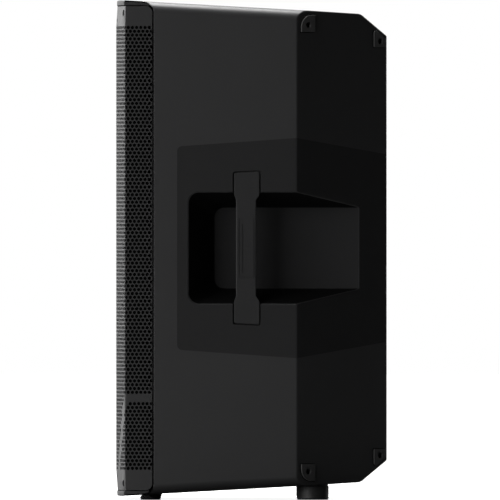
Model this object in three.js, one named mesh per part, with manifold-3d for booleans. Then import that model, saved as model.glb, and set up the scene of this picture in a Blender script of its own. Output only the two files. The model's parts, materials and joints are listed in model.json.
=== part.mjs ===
// Portable two-way powered loudspeaker: moulded cabinet with raked rear sides, bent steel grille,
// 12 inch woofer, horn-loaded compression driver and a rear amplifier module.
// Units are millimetres. +X is across the cabinet, -Y is the front, +Z is up.
// The origin is on the floor, under the middle of the cabinet.
import * as THREE from "three";
import { mergeVertices } from "three/addons/utils/BufferGeometryUtils.js";
import Module from "manifold-3d";

const wasm = await Module();
wasm.setup();

// ---------------------------------------------------------------- driving dimensions

const HALF_WIDTH = 192;
const FRONT_Y = -184.8;
const BACK_Y = 184.8;
const MID_Z = 343.6; // the level that the cabinet tapers towards, top and bottom
const HALF_HEIGHT = 336.45; // half the body's height at SPLIT_TOP_Y
const TAPER = 0.0556; // fall of the top, and rise of the bottom, per unit of depth
const EDGE_RADIUS = 14; // long top and bottom edges
const WALL = 5;
const GAP = 0.3; // between pieces that touch

const RAKE_Y = 62.2; // where the side turns inwards
const RAKE = THREE.MathUtils.degToRad(38); // angle between the raked side and the depth axis
const CHAMFER_Y = 148.8; // where the rear chamfer starts
const CHAMFER_HALF_HEIGHT = 290; // half the height of the flat back

const SPLIT_Y = -133.4; // where the grille meets the body, on the sides
const SPLIT_TOP_Y = -147; // the same, at the top and bottom
const SPLIT_RADIUS = 16.5; // of the arc that joins the two
const SPLIT_GAP = 1;
const BEZEL_HALF_HEIGHT = 338.2;
const BEZEL_OPENING = { halfHeight: 332.1, back: -137.3, radius: 10.2 }; // what the grille fills
const BEZEL_INSET = 1.4; // how far its sides lie inside the cabinet's
const BEZEL_STRIP = 4.6; // width of its upright strips
const LIP_GAP = 1.2; // between the bezel and the grille, at the top and bottom

const FRONT_FLAT = 131; // half the width of the flat middle of the front
const FRONT_EDGE_Y = -172.4; // where the curved front meets the grille's side flange
const GRILLE = 1.5; // sheet thickness

const PLATE_FRONT_Y = -150;
const PLATE_BACK_Y = -142;
const BAFFLE_BACK_Y = -132;
const LEDGE_Y = -128;

const WOOFER_Z = 203;
const HORN_Z = 541;
const PORT = { x: 148, z: 54, bore: 25, wall: 3, back: -42 };

const POCKET = { floorX: 124, left: -51.4, leftRun: 35.1, half: 56, halfRun: 20.5, radius: 14 };
const RECESS_DEPTH = 1.2;
const RECESS = { left: -104, halfLeft: 141, halfRake: 152.7, halfBack: 131 };
const HANDLE = { y: -6.5, tab: 36.3, grip: 30, half: 104.6, tabLength: 30, skin: 8, depth: 21 };
const HANDLE_SLANT = 0.068; // slope of the handle's ends

const FOOT = { front: { y: -137.8, r: 14.3 }, rear: { y: 83.5, r: 22 }, x: 140 };
const POLE = { y: -30, bore: 18.3, wall: 3.5, spread: 21, depth: 92, tilt: 7.5 };

const PANEL = { halfWidth: 82, halfHeight: 248, back: 170, front: 173, radius: 8 };
const RIM = 1.5; // clearance round the amplifier panel

// ---------------------------------------------------------------- solids from three.js geometry

function orient(positions, triangles) {
  const p = (i) => new THREE.Vector3().fromArray(positions, 3 * i);
  let volume = 0;
  for (let i = 0; i < triangles.length; i += 3) {
    volume += p(triangles[i]).dot(p(triangles[i + 1]).cross(p(triangles[i + 2])));
  }
  if (volume < 0) {
    for (let i = 0; i < triangles.length; i += 3) {
      [triangles[i + 1], triangles[i + 2]] = [triangles[i + 2], triangles[i + 1]];
    }
  }
  return triangles;
}

/** A closed three.js geometry as a manifold solid, facing out. */
function solid(geometry) {
  const plain = geometry.clone();
  for (const name of Object.keys(plain.attributes)) {
    if (name !== "position") plain.deleteAttribute(name);
  }
  const merged = mergeVertices(plain, 1e-3);
  const index = Array.from(merged.index.array);
  const triangles = [];
  for (let i = 0; i < index.length; i += 3) {
    const [a, b, c] = index.slice(i, i + 3);
    if (a !== b && b !== c && a !== c) triangles.push(a, b, c);
  }
  const vertProperties = new Float32Array(merged.attributes.position.array);
  const triVerts = new Uint32Array(orient(vertProperties, triangles));
  return new wasm.Manifold(new wasm.Mesh({ numProp: 3, vertProperties, triVerts }));
}

function geometryOf(manifold) {
  const mesh = manifold.getMesh();
  const geometry = new THREE.BufferGeometry();
  geometry.setAttribute("position", new THREE.BufferAttribute(mesh.vertProperties, 3));
  geometry.setIndex(new THREE.BufferAttribute(mesh.triVerts, 1));
  return geometry;
}

const join = (...parts) => parts.reduce((a, b) => a.add(b));
const cut = (from, ...tools) => tools.reduce((a, b) => a.subtract(b), from);

function box(x0, x1, y0, y1, z0, z1) {
  const g = new THREE.BoxGeometry(x1 - x0, y1 - y0, z1 - z0);
  return solid(g.translate((x0 + x1) / 2, (y0 + y1) / 2, (z0 + z1) / 2));
}

/** A box that is centred on x = 0 and on z. */
const slab = (halfX, y0, y1, z, halfZ) => box(-halfX, halfX, y0, y1, z - halfZ, z + halfZ);

function extruded(shape, depth, curveSegments = 4) {
  return new THREE.ExtrudeGeometry(shape, { depth, bevelEnabled: false, curveSegments });
}

const outline = (points) => new THREE.Shape(points.map(([a, b]) => new THREE.Vector2(a, b)));

/** An (x, y) outline raised from z0 to z1. */
const raised = (shape, z0, z1) => solid(extruded(shape, z1 - z0).translate(0, 0, z0));

/** A (y, z) outline run across from x0 to x1. */
function across(shape, x0, x1) {
  const g = extruded(shape, x1 - x0);
  g.applyMatrix4(new THREE.Matrix4().set(0, 0, 1, x0, 1, 0, 0, 0, 0, 1, 0, 0, 0, 0, 0, 1));
  return solid(g);
}

/** An (x, z) outline run back from y0 to y1. */
function deep(shape, y0, y1) {
  const g = extruded(shape, y1 - y0);
  g.applyMatrix4(new THREE.Matrix4().set(1, 0, 0, 0, 0, 0, 1, y0, 0, 1, 0, 0, 0, 0, 0, 1));
  return solid(g);
}

/** A closed [radius, y] profile turned about the y axis, then moved to x, z. */
function turned(profile, x = 0, z = 0, segments = 24) {
  const points = profile.map(([r, y]) => new THREE.Vector2(r, y));
  if (profile[0][0] > 0) points.push(points[0]);
  return solid(new THREE.LatheGeometry(points, segments).translate(x, 0, z));
}

/** A ring between two radii, along y. A radius of 0 makes a disc. */
const ring = (r0, r1, y0, y1, x = 0, z = 0, segments = 24) =>
  r0 > 0
    ? turned([[r0, y0], [r1, y0], [r1, y1], [r0, y1]], x, z, segments)
    : turned([[0, y0], [r1, y0], [r1, y1], [0, y1]], x, z, segments);

/** An upright cylinder. */
function post(r, x, y, z0, z1, segments = 16) {
  const g = new THREE.CylinderGeometry(r, r, z1 - z0, segments).rotateX(Math.PI / 2);
  return solid(g.translate(x, y, (z0 + z1) / 2));
}

/** A rectangle with round corners. */
function roundRect(halfA, halfB, r, a = 0, b = 0) {
  const s = new THREE.Shape();
  s.moveTo(a - halfA + r, b - halfB);
  s.lineTo(a + halfA - r, b - halfB);
  s.absarc(a + halfA - r, b - halfB + r, r, -Math.PI / 2, 0);
  s.lineTo(a + halfA, b + halfB - r);
  s.absarc(a + halfA - r, b + halfB - r, r, 0, Math.PI / 2);
  s.lineTo(a - halfA + r, b + halfB);
  s.absarc(a - halfA + r, b + halfB - r, r, Math.PI / 2, Math.PI);
  s.lineTo(a - halfA, b - halfB + r);
  s.absarc(a - halfA + r, b - halfB + r, r, Math.PI, Math.PI * 1.5);
  return s;
}

/** The points of a round-cornered rectangle, the same number whatever its size. */
function roundPoints(halfA, halfB, r, steps = 4) {
  const points = [];
  const corners = [[1, -1, -90], [1, 1, 0], [-1, 1, 90], [-1, -1, 180]];
  for (const [sa, sb, start] of corners) {
    for (let i = 0; i <= steps; i++) {
      const t = THREE.MathUtils.degToRad(start + (90 * i) / steps);
      points.push([sa * (halfA - r) + r * Math.cos(t), sb * (halfB - r) + r * Math.sin(t)]);
    }
  }
  return points;
}

/** A solid through rings of 3-D points, each ring with the same number of them. */
function loft(rings) {
  const n = rings[0].length;
  const index = [];
  for (let k = 0; k + 1 < rings.length; k++) {
    for (let i = 0; i < n; i++) {
      const a = k * n + i;
      const b = k * n + ((i + 1) % n);
      index.push(a, b, b + n, a, b + n, a + n);
    }
  }
  const last = (rings.length - 1) * n;
  for (let i = 1; i + 1 < n; i++) {
    index.push(0, i + 1, i, last, last + i, last + i + 1);
  }
  const g = new THREE.BufferGeometry();
  g.setAttribute("position", new THREE.Float32BufferAttribute(rings.flat(2), 3));
  g.setIndex(index);
  return solid(g.toNonIndexed());
}

const mirrored = (s) => s.mirror([1, 0, 0]);
const bothSides = (s) => s.add(mirrored(s));

// ---------------------------------------------------------------- cabinet

const halfHeightAt = (y) => HALF_HEIGHT - TAPER * (y - SPLIT_TOP_Y);

/** Half the cabinet's outer width at a depth. */
const halfWidthAt = (y) => HALF_WIDTH - Math.max(0, y - RAKE_Y) * Math.tan(RAKE);

/** A convex outline with every edge moved in by a distance. */
function inset(points, distance) {
  const edges = points.map(([x, y], i) => {
    const [u, v] = points[(i + 1) % points.length];
    const length = Math.hypot(u - x, v - y);
    const n = [-(v - y) / length, (u - x) / length];
    return { n, d: n[0] * x + n[1] * y + distance };
  });
  return edges.map((e, i) => {
    const f = edges[(i + edges.length - 1) % edges.length];
    const det = e.n[0] * f.n[1] - e.n[1] * f.n[0];
    return [(e.d * f.n[1] - f.d * e.n[1]) / det, (e.n[0] * f.d - f.n[0] * e.d) / det];
  });
}

/** The cabinet's outer form with every face moved in by a distance, running past the front. */
function bodyForm(distance, edge = EDGE_RADIUS) {
  const start = FRONT_Y - 10;
  const radius = Math.max(edge - distance, 2);
  const section = (y) =>
    roundPoints(HALF_WIDTH - distance, halfHeightAt(y) - distance, radius).map(([x, z]) => [
      x,
      y,
      MID_Z + z,
    ]);
  const plan = inset(
    [
      [-HALF_WIDTH, start - distance],
      [HALF_WIDTH, start - distance],
      [HALF_WIDTH, RAKE_Y],
      [halfWidthAt(BACK_Y), BACK_Y],
      [-halfWidthAt(BACK_Y), BACK_Y],
      [-HALF_WIDTH, RAKE_Y],
    ],
    distance,
  );
  const far = BACK_Y + 60;
  const high = halfHeightAt(CHAMFER_Y);
  const run = (high - CHAMFER_HALF_HEIGHT) / (BACK_Y - CHAMFER_Y);
  const shift = distance * Math.hypot(1, run);
  const chamfer = (y) => high - run * (y - CHAMFER_Y) - shift;
  const side = outline([
    [start - 5, MID_Z - chamfer(start - 5)],
    [far, MID_Z - chamfer(far)],
    [far, MID_Z + chamfer(far)],
    [start - 5, MID_Z + chamfer(start - 5)],
  ]);
  return loft([section(start - 5), section(far)])
    .intersect(raised(outline(plan), -20, 2 * MID_Z + 20))
    .intersect(across(side, -HALF_WIDTH - 5, HALF_WIDTH + 5));
}

/** The space in front of the body that the bezel and the grille fill, moved in by a gap. */
function frontZone(gap) {
  const y = SPLIT_Y - SPLIT_RADIUS;
  const rise = Math.sqrt(SPLIT_RADIUS ** 2 - (SPLIT_TOP_Y - y) ** 2);
  const half = halfHeightAt(SPLIT_TOP_Y) - rise;
  const r = SPLIT_RADIUS - gap;
  const clear = half + r + 30;
  const s = new THREE.Shape();
  s.moveTo(FRONT_Y - 20, MID_Z - clear);
  s.lineTo(y, MID_Z - clear);
  s.lineTo(y, MID_Z - half - r);
  s.absarc(y, MID_Z - half, r, -Math.PI / 2, 0);
  s.absarc(y, MID_Z + half, r, 0, Math.PI / 2);
  s.lineTo(y, MID_Z + clear);
  s.lineTo(FRONT_Y - 20, MID_Z + clear);
  return across(s, -HALF_WIDTH - 10, HALF_WIDTH + 10);
}

/** A round-cornered space from the front back to a depth, right through from side to side. */
function frontOpening(halfHeight, back, radius) {
  const half = (back - FRONT_Y + 40) / 2;
  return across(roundRect(half, halfHeight, radius, back - half, MID_Z), -HALF_WIDTH - 10, HALF_WIDTH + 10);
}

/** The front of the bezel and grille seen from above: flat in the middle, curving back at the sides. */
function frontPlan(depth, back, steps = 6) {
  const rise = FRONT_EDGE_Y - FRONT_Y;
  const run = HALF_WIDTH - FRONT_FLAT;
  const turn = 2 * Math.atan(rise / run);
  const radius = run / Math.sin(turn) - depth;
  const curve = [];
  for (let i = 0; i <= steps; i++) {
    const t = (turn * i) / steps;
    const x = FRONT_FLAT + radius * Math.sin(t);
    curve.push([Math.min(x, HALF_WIDTH - depth), FRONT_Y + depth + radius * (1 - Math.cos(t))]);
  }
  curve.push([HALF_WIDTH - depth, FRONT_EDGE_Y + depth * 1.2], [HALF_WIDTH - depth, back]);
  const clean = curve.filter(
    ([x, y], i) => i === 0 || Math.hypot(x - curve[i - 1][0], y - curve[i - 1][1]) > 0.2,
  );
  const left = clean.map(([x, y]) => [-x, y]).reverse();
  return outline([...left, ...clean]);
}

/** An upright prism of the front outline. */
const frontBlock = (depth, back, half) =>
  raised(frontPlan(depth, back), MID_Z - half, MID_Z + half);

/** The inside of a side pocket, or its outer skin when grown, on the +X side. */
function pocketForm(grow) {
  const slope = 1 / (HALF_WIDTH - POCKET.floorX);
  const far = BACK_Y + 40;
  const section = (x) => {
    const run = (x - POCKET.floorX) * slope;
    const left = POCKET.left - POCKET.leftRun * run - grow;
    const half = POCKET.half + POCKET.halfRun * run + grow;
    const middle = (left + far) / 2;
    return roundPoints((far - left) / 2, half, POCKET.radius, 4).map(([y, z]) => [
      x,
      middle + y,
      MID_Z + z,
    ]);
  };
  return loft([section(POCKET.floorX - grow), section(HALF_WIDTH + 12)]);
}

/** The shallow panel round the pocket, on the +X side. */
function recessCut() {
  const { left, halfLeft, halfRake, halfBack } = RECESS;
  const far = BACK_Y + 2;
  const half = [[left, halfLeft - 6], [left + 6, halfLeft], [RAKE_Y, halfRake], [far, halfBack]];
  const below = half.map(([y, z]) => [y, MID_Z - z]);
  const above = half.map(([y, z]) => [y, MID_Z + z]).reverse();
  const panel = across(outline([...below, ...above]), halfWidthAt(BACK_Y) + 1.5, HALF_WIDTH + 5);
  return panel.subtract(bodyForm(RECESS_DEPTH));
}

/** Outline of the handle in (y, z), or of its seats when grown. */
function handleOutline(grow) {
  const { y, tab, grip, half, tabLength } = HANDLE;
  const a = tab / 2 + grow;
  const b = grip / 2 + grow;
  const end = (side) => half + grow + HANDLE_SLANT * side * a;
  const neck = half - tabLength;
  const r = 3;
  const upper = [
    [a, neck],
    [a, end(1) - r],
    [a - r, end(1)],
    [-a + r, end(-1)],
    [-a, end(-1) - r],
    [-a, neck],
  ];
  const rightGrip = [[b, -neck + 7], [b, neck - 7]];
  const leftGrip = [[-b, neck - 7], [-b, -neck + 7]];
  const lower = upper.map(([u, v]) => [u, -v]).reverse();
  return outline([...rightGrip, ...upper, ...leftGrip, ...lower].map(([u, v]) => [y + u, MID_Z + v]));
}

const handleSeatX = HALF_WIDTH - HANDLE.skin;

function handleBar() {
  const { depth, half, tabLength } = HANDLE;
  const inner = HALF_WIDTH - depth;
  const bend = half - tabLength - 8;
  const run = 12;
  const side = [
    [HALF_WIDTH, -half - 5],
    [HALF_WIDTH, half + 5],
    [handleSeatX, half + 5],
    [handleSeatX, bend],
    [inner, bend - run],
    [inner, -bend + run],
    [handleSeatX, -bend],
    [handleSeatX, -half - 5],
  ].map(([x, z]) => [x, MID_Z + z]);
  return across(handleOutline(0), inner - 5, HALF_WIDTH + 5).intersect(
    deep(outline(side), HANDLE.y - 30, HANDLE.y + 30),
  );
}

/** A piece drawn on the raked side: u runs back along it, z up, n outwards. */
function onRake(s) {
  const m = new THREE.Matrix4().makeBasis(
    new THREE.Vector3(-Math.sin(RAKE), Math.cos(RAKE), 0),
    new THREE.Vector3(0, 0, 1),
    new THREE.Vector3(Math.cos(RAKE), Math.sin(RAKE), 0),
  );
  m.setPosition(HALF_WIDTH, RAKE_Y, MID_Z);
  return s.transform(m.toArray());
}

const uAt = (y) => (y - RAKE_Y) / Math.cos(RAKE);

/** The outlines of the two upper bumpers on a raked side, in (u, height over the middle). */
function bumperOutlines() {
  const u0 = uAt(66.8);
  const u1 = uAt(85.2);
  const front = new THREE.Shape();
  front.moveTo(u0, 294.5);
  front.lineTo(u1, 294.5);
  front.lineTo(u1, 317.8);
  front.lineTo(u0 + 15, 317.8);
  front.quadraticCurveTo(u0 + 2, 315.5, u0, 303);
  const v0 = uAt(166.2);
  const v1 = uAt(182.0);
  const rear = new THREE.Shape();
  rear.moveTo(v0, 276);
  rear.quadraticCurveTo(v0, 274.4, v0 + 2, 274.4);
  rear.lineTo(v1, 274.4);
  rear.lineTo(v1, 286);
  rear.lineTo(v0 + 4, 296.6);
  rear.quadraticCurveTo(v0 + 0.5, 297.4, v0, 294);
  return {
    front: { shape: front, hole: [(u0 + u1) / 2 + 0.2, 304.4] },
    rear: { shape: rear, hole: [(v0 + v1) / 2 + 0.4, 283] },
  };
}

function bumper({ shape, hole }) {
  const pad = solid(extruded(shape, 2.6, 4).translate(0, 0, GAP));
  const drill = solid(
    new THREE.CylinderGeometry(4, 4, 8, 12).rotateX(Math.PI / 2).translate(hole[0], hole[1], 1),
  );
  return onRake(pad.subtract(drill));
}

/** A half space over the cabinet's bottom, moved up by a distance, for cutting feet and cups. */
function overBottom(offset) {
  const z = (y) => MID_Z - halfHeightAt(y) + offset;
  const near = FRONT_Y - 20;
  const far = BACK_Y + 20;
  return across(outline([[near, z(near)], [far, z(far)], [far, 900], [near, 900]]), -250, 250);
}

const poleSockets = [
  { y: POLE.y - POLE.spread, tilt: 0 },
  { y: POLE.y + POLE.spread, tilt: THREE.MathUtils.degToRad(-POLE.tilt) },
];

function tiltedPost(r, { y, tilt }, z0, z1) {
  const g = new THREE.CylinderGeometry(r, r, z1 - z0, 20).rotateX(Math.PI / 2);
  g.translate(0, 0, (z0 + z1) / 2).rotateX(tilt).translate(0, y, 0);
  return solid(g);
}

const poleFlange = (grow) => roundRect(29 + grow, 52 + grow, 28 + grow, 0, POLE.y);

function poleCup() {
  const { bore, wall, depth } = POLE;
  const bodies = poleSockets.map((s) => tiltedPost(bore + wall, s, 8, depth + 12));
  const bores = poleSockets.map((s) => tiltedPost(bore, s, -20, depth + 8));
  const flange = raised(poleFlange(0), 0, 30);
  const ledge = raised(poleFlange(7), 0, 40)
    .intersect(overBottom(WALL + GAP))
    .subtract(overBottom(WALL + 4));
  const collar = flange.subtract(overBottom(WALL + 4));
  return cut(join(collar, ledge, ...bodies), ...bores).intersect(overBottom(0.8));
}

const tapeAngle = Math.atan(TAPER);

/** Where the rigging inserts sit: each with its outward direction and place. */
const riggingPoints = {
  top_left: { x: -125, y: 10 },
  top_right: { x: 125, y: 10 },
  rear: { x: 0, z: 76 },
};

/** Moves a piece built along +z, its mouth at z = 0, to a rigging point. */
function atRigging(s, { x, y, z }) {
  const m = new THREE.Matrix4();
  if (y === undefined) {
    m.makeRotationX(-Math.PI / 2).setPosition(x, BACK_Y, z);
  } else {
    m.makeRotationX(-tapeAngle).setPosition(x, y, MID_Z + halfHeightAt(y));
  }
  return s.transform(m.toArray());
}

function riggingInsert() {
  const flange = post(11, 0, 0, -3, -0.5);
  const stem = post(8, 0, 0, -24, -2);
  return join(flange, stem).subtract(post(4.3, 0, 0, -20, 5));
}

const riggingSeat = () => post(11.3, 0, 0, -3.3, 5).add(post(8.3, 0, 0, -24.3, 5));
const riggingBoss = () => post(14, 0, 0, -28, -4);

function cabinetShell() {
  const blocks = [
    bothSides(pocketForm(4)),
    bothSides(
      box(
        handleSeatX - 5,
        HALF_WIDTH,
        HANDLE.y - HANDLE.tab / 2 - 5,
        HANDLE.y + HANDLE.tab / 2 + 5,
        MID_Z - HANDLE.half - 6,
        MID_Z + HANDLE.half + 6,
      ),
    ),
    slab(PANEL.halfWidth + RIM + 4, PANEL.back - 6, BACK_Y, MID_Z, PANEL.halfHeight + RIM + 4),
    ...Object.values(riggingPoints).map((p) => atRigging(riggingBoss(), p)),
  ];
  const ledge = bodyForm(WALL - 0.5)
    .intersect(slab(HALF_WIDTH, LEDGE_Y, LEDGE_Y + 5, MID_Z, HALF_HEIGHT + 5))
    .subtract(bodyForm(WALL + 9));
  const cavity = bodyForm(WALL).subtract(join(...blocks)).subtract(ledge);
  const panelHole = deep(
    roundRect(PANEL.halfWidth + RIM, PANEL.halfHeight + RIM, PANEL.radius + RIM, 0, MID_Z),
    PANEL.back - 1.8,
    BACK_Y + 10,
  );
  const through = slab(PANEL.halfWidth - 9, PANEL.back - 20, BACK_Y, MID_Z, PANEL.halfHeight - 9);
  const seats = across(handleOutline(0.6), handleSeatX - GAP, HALF_WIDTH + 5);
  return cut(
    bodyForm(0),
    cavity,
    slab(HALF_WIDTH + 5, FRONT_Y - 20, FRONT_EDGE_Y, MID_Z, HALF_HEIGHT + 20),
    frontZone(0),
    bothSides(recessCut()),
    bothSides(pocketForm(0)),
    bothSides(seats),
    panelHole,
    through,
    raised(poleFlange(0.5), -10, 60),
    ...Object.values(riggingPoints).map((p) => atRigging(riggingSeat(), p)),
  );
}

/** A foot under the sloping bottom, standing on the floor. */
function foot({ y, r }, x) {
  const profile = [[0, 0], [r - 1.5, 0], [r, 1.5], [r, 30], [0, 30]];
  const g = new THREE.LatheGeometry(profile.map(([a, b]) => new THREE.Vector2(a, b)), 24);
  const bezel = box(-250, 250, FRONT_Y, SPLIT_TOP_Y + 3, MID_Z - BEZEL_HALF_HEIGHT - GAP, 60);
  return cut(solid(g.rotateX(Math.PI / 2).translate(x, y, 0)), overBottom(-GAP), bezel);
}

// ---------------------------------------------------------------- front

const WOOFER_CUT = 143;
const HORN_MOUTH = { halfWidth: 136, halfHeight: 96, radius: 18 };

function frontBaffle() {
  const inner = 2.5;
  const face = (d, y0, y1) =>
    bodyForm(d).intersect(slab(HALF_WIDTH, y0, y1, MID_Z, HALF_HEIGHT + 20));
  const plate = face(inner, PLATE_FRONT_Y, PLATE_BACK_Y);
  const rim = face(WALL + 0.5, PLATE_BACK_Y - 1, BAFFLE_BACK_Y).subtract(bodyForm(WALL + 10));
  const walls = bothSides(
    box(
      HALF_WIDTH - inner - 4,
      HALF_WIDTH - inner,
      FRONT_EDGE_Y + 5,
      PLATE_FRONT_Y + 1,
      MID_Z - BEZEL_HALF_HEIGHT + 10,
      MID_Z + BEZEL_HALF_HEIGHT - 10,
    ),
  );
  const side = HALF_WIDTH - BEZEL_INSET;
  const { halfHeight, back, radius } = BEZEL_OPENING;
  const lips = bodyForm(0, 2)
    .intersect(slab(side, FRONT_Y - 5, SPLIT_Y, MID_Z, BEZEL_HALF_HEIGHT))
    .intersect(frontZone(SPLIT_GAP))
    .intersect(frontBlock(0, SPLIT_Y, BEZEL_HALF_HEIGHT + 1))
    .subtract(frontOpening(halfHeight, back, radius))
    .subtract(slab(side - BEZEL_STRIP, FRONT_Y - 10, SPLIT_Y + 1, MID_Z, halfHeight));
  const ports = bothSides(ring(0, PORT.bore + PORT.wall + 0.4, PLATE_FRONT_Y - 9, 0, PORT.x, PORT.z));
  const mouth = deep(
    roundRect(HORN_MOUTH.halfWidth + 4, HORN_MOUTH.halfHeight + 4, 20, 0, HORN_Z),
    FRONT_Y,
    0,
  );
  return cut(
    join(plate, rim, walls, lips),
    ports,
    mouth,
    ring(0, WOOFER_CUT, FRONT_Y, 0, 0, WOOFER_Z, 36),
  );
}

const baffleGasket = () =>
  bodyForm(WALL + 1)
    .intersect(slab(HALF_WIDTH, BAFFLE_BACK_Y + GAP, LEDGE_Y - GAP, MID_Z, HALF_HEIGHT))
    .subtract(bodyForm(WALL + 8));

function frontGrille() {
  const half = BEZEL_HALF_HEIGHT;
  const sheet = frontBlock(0, SPLIT_Y + 5, half).subtract(frontBlock(GRILLE, SPLIT_Y + 9, half + 5));
  const { halfHeight, back, radius } = BEZEL_OPENING;
  return sheet.intersect(frontOpening(halfHeight - LIP_GAP, back - 0.4, radius - LIP_GAP));
}

function grilleFoam() {
  const half = BEZEL_OPENING.halfHeight - 6;
  const near = frontBlock(GRILLE + GAP, FRONT_EDGE_Y + 4, half);
  const far = frontBlock(GRILLE + GAP + 3, FRONT_EDGE_Y + 30, half + 5);
  return near.subtract(far).intersect(slab(HALF_WIDTH - 8, FRONT_Y, 0, MID_Z, half + 1));
}

const portTube = (x) =>
  turned(
    [
      [PORT.bore, PORT.back],
      [PORT.bore, PLATE_FRONT_Y + 6],
      [PORT.bore + 5, PLATE_FRONT_Y - 2.6],
      [PORT.bore + 9, PLATE_FRONT_Y - 2.6],
      [PORT.bore + 9, PLATE_FRONT_Y - GAP],
      [PORT.bore + PORT.wall, PLATE_FRONT_Y - GAP],
      [PORT.bore + PORT.wall, PORT.back],
    ],
    x,
    PORT.z,
    24,
  );

// ---------------------------------------------------------------- woofer

const onWoofer = (profile, segments = 24) => turned(profile, 0, WOOFER_Z, segments);

function wooferBasket() {
  const frame = onWoofer([
    [139, -156],
    [154.5, -156],
    [154.5, PLATE_FRONT_Y - GAP],
    [142, PLATE_FRONT_Y - GAP],
    [84, -66],
    [84, -61],
    [36, -61],
    [36, -65],
    [80, -65],
    [138, -150],
  ]);
  const windows = [0, 1, 2, 3, 4, 5].map((i) => {
    const g = new THREE.BoxGeometry(58, 50, 110).translate(0, -103, 105);
    return solid(g.rotateY((i * Math.PI) / 3).translate(0, 0, WOOFER_Z));
  });
  const terminal = box(44, 62, -66, -61, WOOFER_Z + 65, WOOFER_Z + 81);
  return cut(frame, ...windows).add(terminal);
}

const wooferCone = () =>
  onWoofer([
    [34, -88],
    [70, -119],
    [118, -151],
    [118, -152.4],
    [69, -120.5],
    [33.4, -90],
    [33.4, -88],
  ]);

const wooferDustCap = () =>
  onWoofer([
    [0, -116],
    [20, -114],
    [36, -107],
    [45, -100.6],
    [44, -99.9],
    [35, -105.5],
    [19, -112.4],
    [0, -114.4],
  ], 20);

const wooferSurround = () =>
  onWoofer([
    [112, -153.8],
    [120, -153.8],
    [124, -161],
    [128.5, -163],
    [133, -161],
    [136, -157.4],
    [147, -157.4],
    [147, -156.3],
    [135, -156.3],
    [132, -160],
    [128.5, -161.8],
    [125, -160],
    [121, -152.8],
    [112, -152.8],
  ]);

const wooferSpider = () =>
  onWoofer([
    [33.4, -74],
    [41, -75.5],
    [48, -72.5],
    [55, -75.5],
    [62, -72.5],
    [68, -66.6],
    [78, -66.6],
    [78, -65.3],
    [67, -65.3],
    [61.5, -71.2],
    [55, -74.2],
    [48, -71.2],
    [41, -74.2],
    [33.4, -72.7],
  ], 20);

// ---------------------------------------------------------------- horn and compression driver

const THROAT_Y = -52;

/** The horn's section at a share t of its depth, 0 at the throat and 1 at the mouth. */
function hornSection(t, grow) {
  const flare = t * t * 0.7 + t * 0.3;
  const halfX = 18 + (HORN_MOUTH.halfWidth - 18) * flare + grow;
  const halfZ = 18 + (HORN_MOUTH.halfHeight - 18) * flare + grow;
  const radius = Math.min(halfX, halfZ, 18 + grow) - 0.01;
  const y = THROAT_Y + (PLATE_FRONT_Y - GAP - THROAT_Y) * t;
  return roundPoints(halfX, halfZ, radius, 4).map(([x, z]) => [x, y, HORN_Z + z]);
}

function hornWaveguide() {
  const stations = [0, 0.15, 0.35, 0.6, 0.8, 1];
  const push = (section, dy) => section.map(([x, y, z]) => [x, y + dy, z]);
  const skin = loft(stations.map((t) => hornSection(t, 3)));
  const air = loft([
    push(hornSection(0, 0), 10),
    ...stations.map((t) => hornSection(t, 0)),
    push(hornSection(1, 0), -10),
  ]);
  const mouth = deep(
    roundRect(HORN_MOUTH.halfWidth + 12, HORN_MOUTH.halfHeight + 12, 16, 0, HORN_Z),
    PLATE_FRONT_Y - 4.3,
    PLATE_FRONT_Y - GAP,
  );
  const throat = ring(0, 42, THROAT_Y - 1, THROAT_Y + 5, 0, HORN_Z, 24);
  return join(skin, mouth, throat).subtract(air);
}

// ---------------------------------------------------------------- amplifier module
// Positions on the panel are [x, z] in the part's frame, seen from behind with +x on the left.

const AMP = {
  display: [22, 556],
  encoder: [-46, 556],
  level_1: [38, 500],
  level_2: [-38, 500],
  button_1: [9, 500],
  button_2: [-9, 500],
  combo_1: [38, 440],
  combo_2: [-38, 440],
  link: [38, 388],
  heatsink: [0, 268],
  rocker: [38, 134],
  inlet: [-30, 134],
};
const FACE = PANEL.front;

function ampPanel() {
  const plate = deep(
    roundRect(PANEL.halfWidth, PANEL.halfHeight, PANEL.radius, 0, MID_Z),
    PANEL.back,
    FACE,
  );
  const round = ([x, z], r) => ring(0, r, PANEL.back - 5, FACE + 5, x, z, 16);
  const square = ([x, z], a, b) => box(x - a, x + a, PANEL.back - 5, FACE + 5, z - b, z + b);
  return cut(
    plate,
    square(AMP.display, 27.5, 16.5),
    ...[AMP.encoder, AMP.level_1, AMP.level_2].map((p) => round(p, 4.2)),
    ...[AMP.button_1, AMP.button_2].map((p) => square(p, 5, 4)),
    ...[AMP.combo_1, AMP.combo_2, AMP.link].map((p) => round(p, 12.3)),
    ...[AMP.combo_1, AMP.combo_2].map(([x, z]) => square([x, z + 11], 3.8, 2.7)),
    square(AMP.rocker, 11.4, 13.9),
    square(AMP.inlet, 14.4, 10.9),
  );
}

const panelGasket = () => {
  const shape = (d) =>
    roundRect(PANEL.halfWidth - d, PANEL.halfHeight - d, PANEL.radius, 0, MID_Z);
  return deep(shape(0.5), PANEL.back - 1.5, PANEL.back - GAP).subtract(
    deep(shape(7), PANEL.back - 5, PANEL.back + 5),
  );
};

function heatsink() {
  const [x, z] = AMP.heatsink;
  const half = { x: 68, z: 78 };
  const base = box(x - half.x, x + half.x, FACE + GAP, FACE + 2.8, z - half.z, z + half.z);
  const fins = 14;
  const pitch = (2 * half.x - 2.4) / (fins - 1);
  const made = [];
  for (let i = 0; i < fins; i++) {
    const left = x - half.x + i * pitch;
    made.push(box(left, left + 2.4, FACE + 2, BACK_Y - 0.8, z - half.z, z + half.z));
  }
  return join(base, ...made);
}

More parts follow.
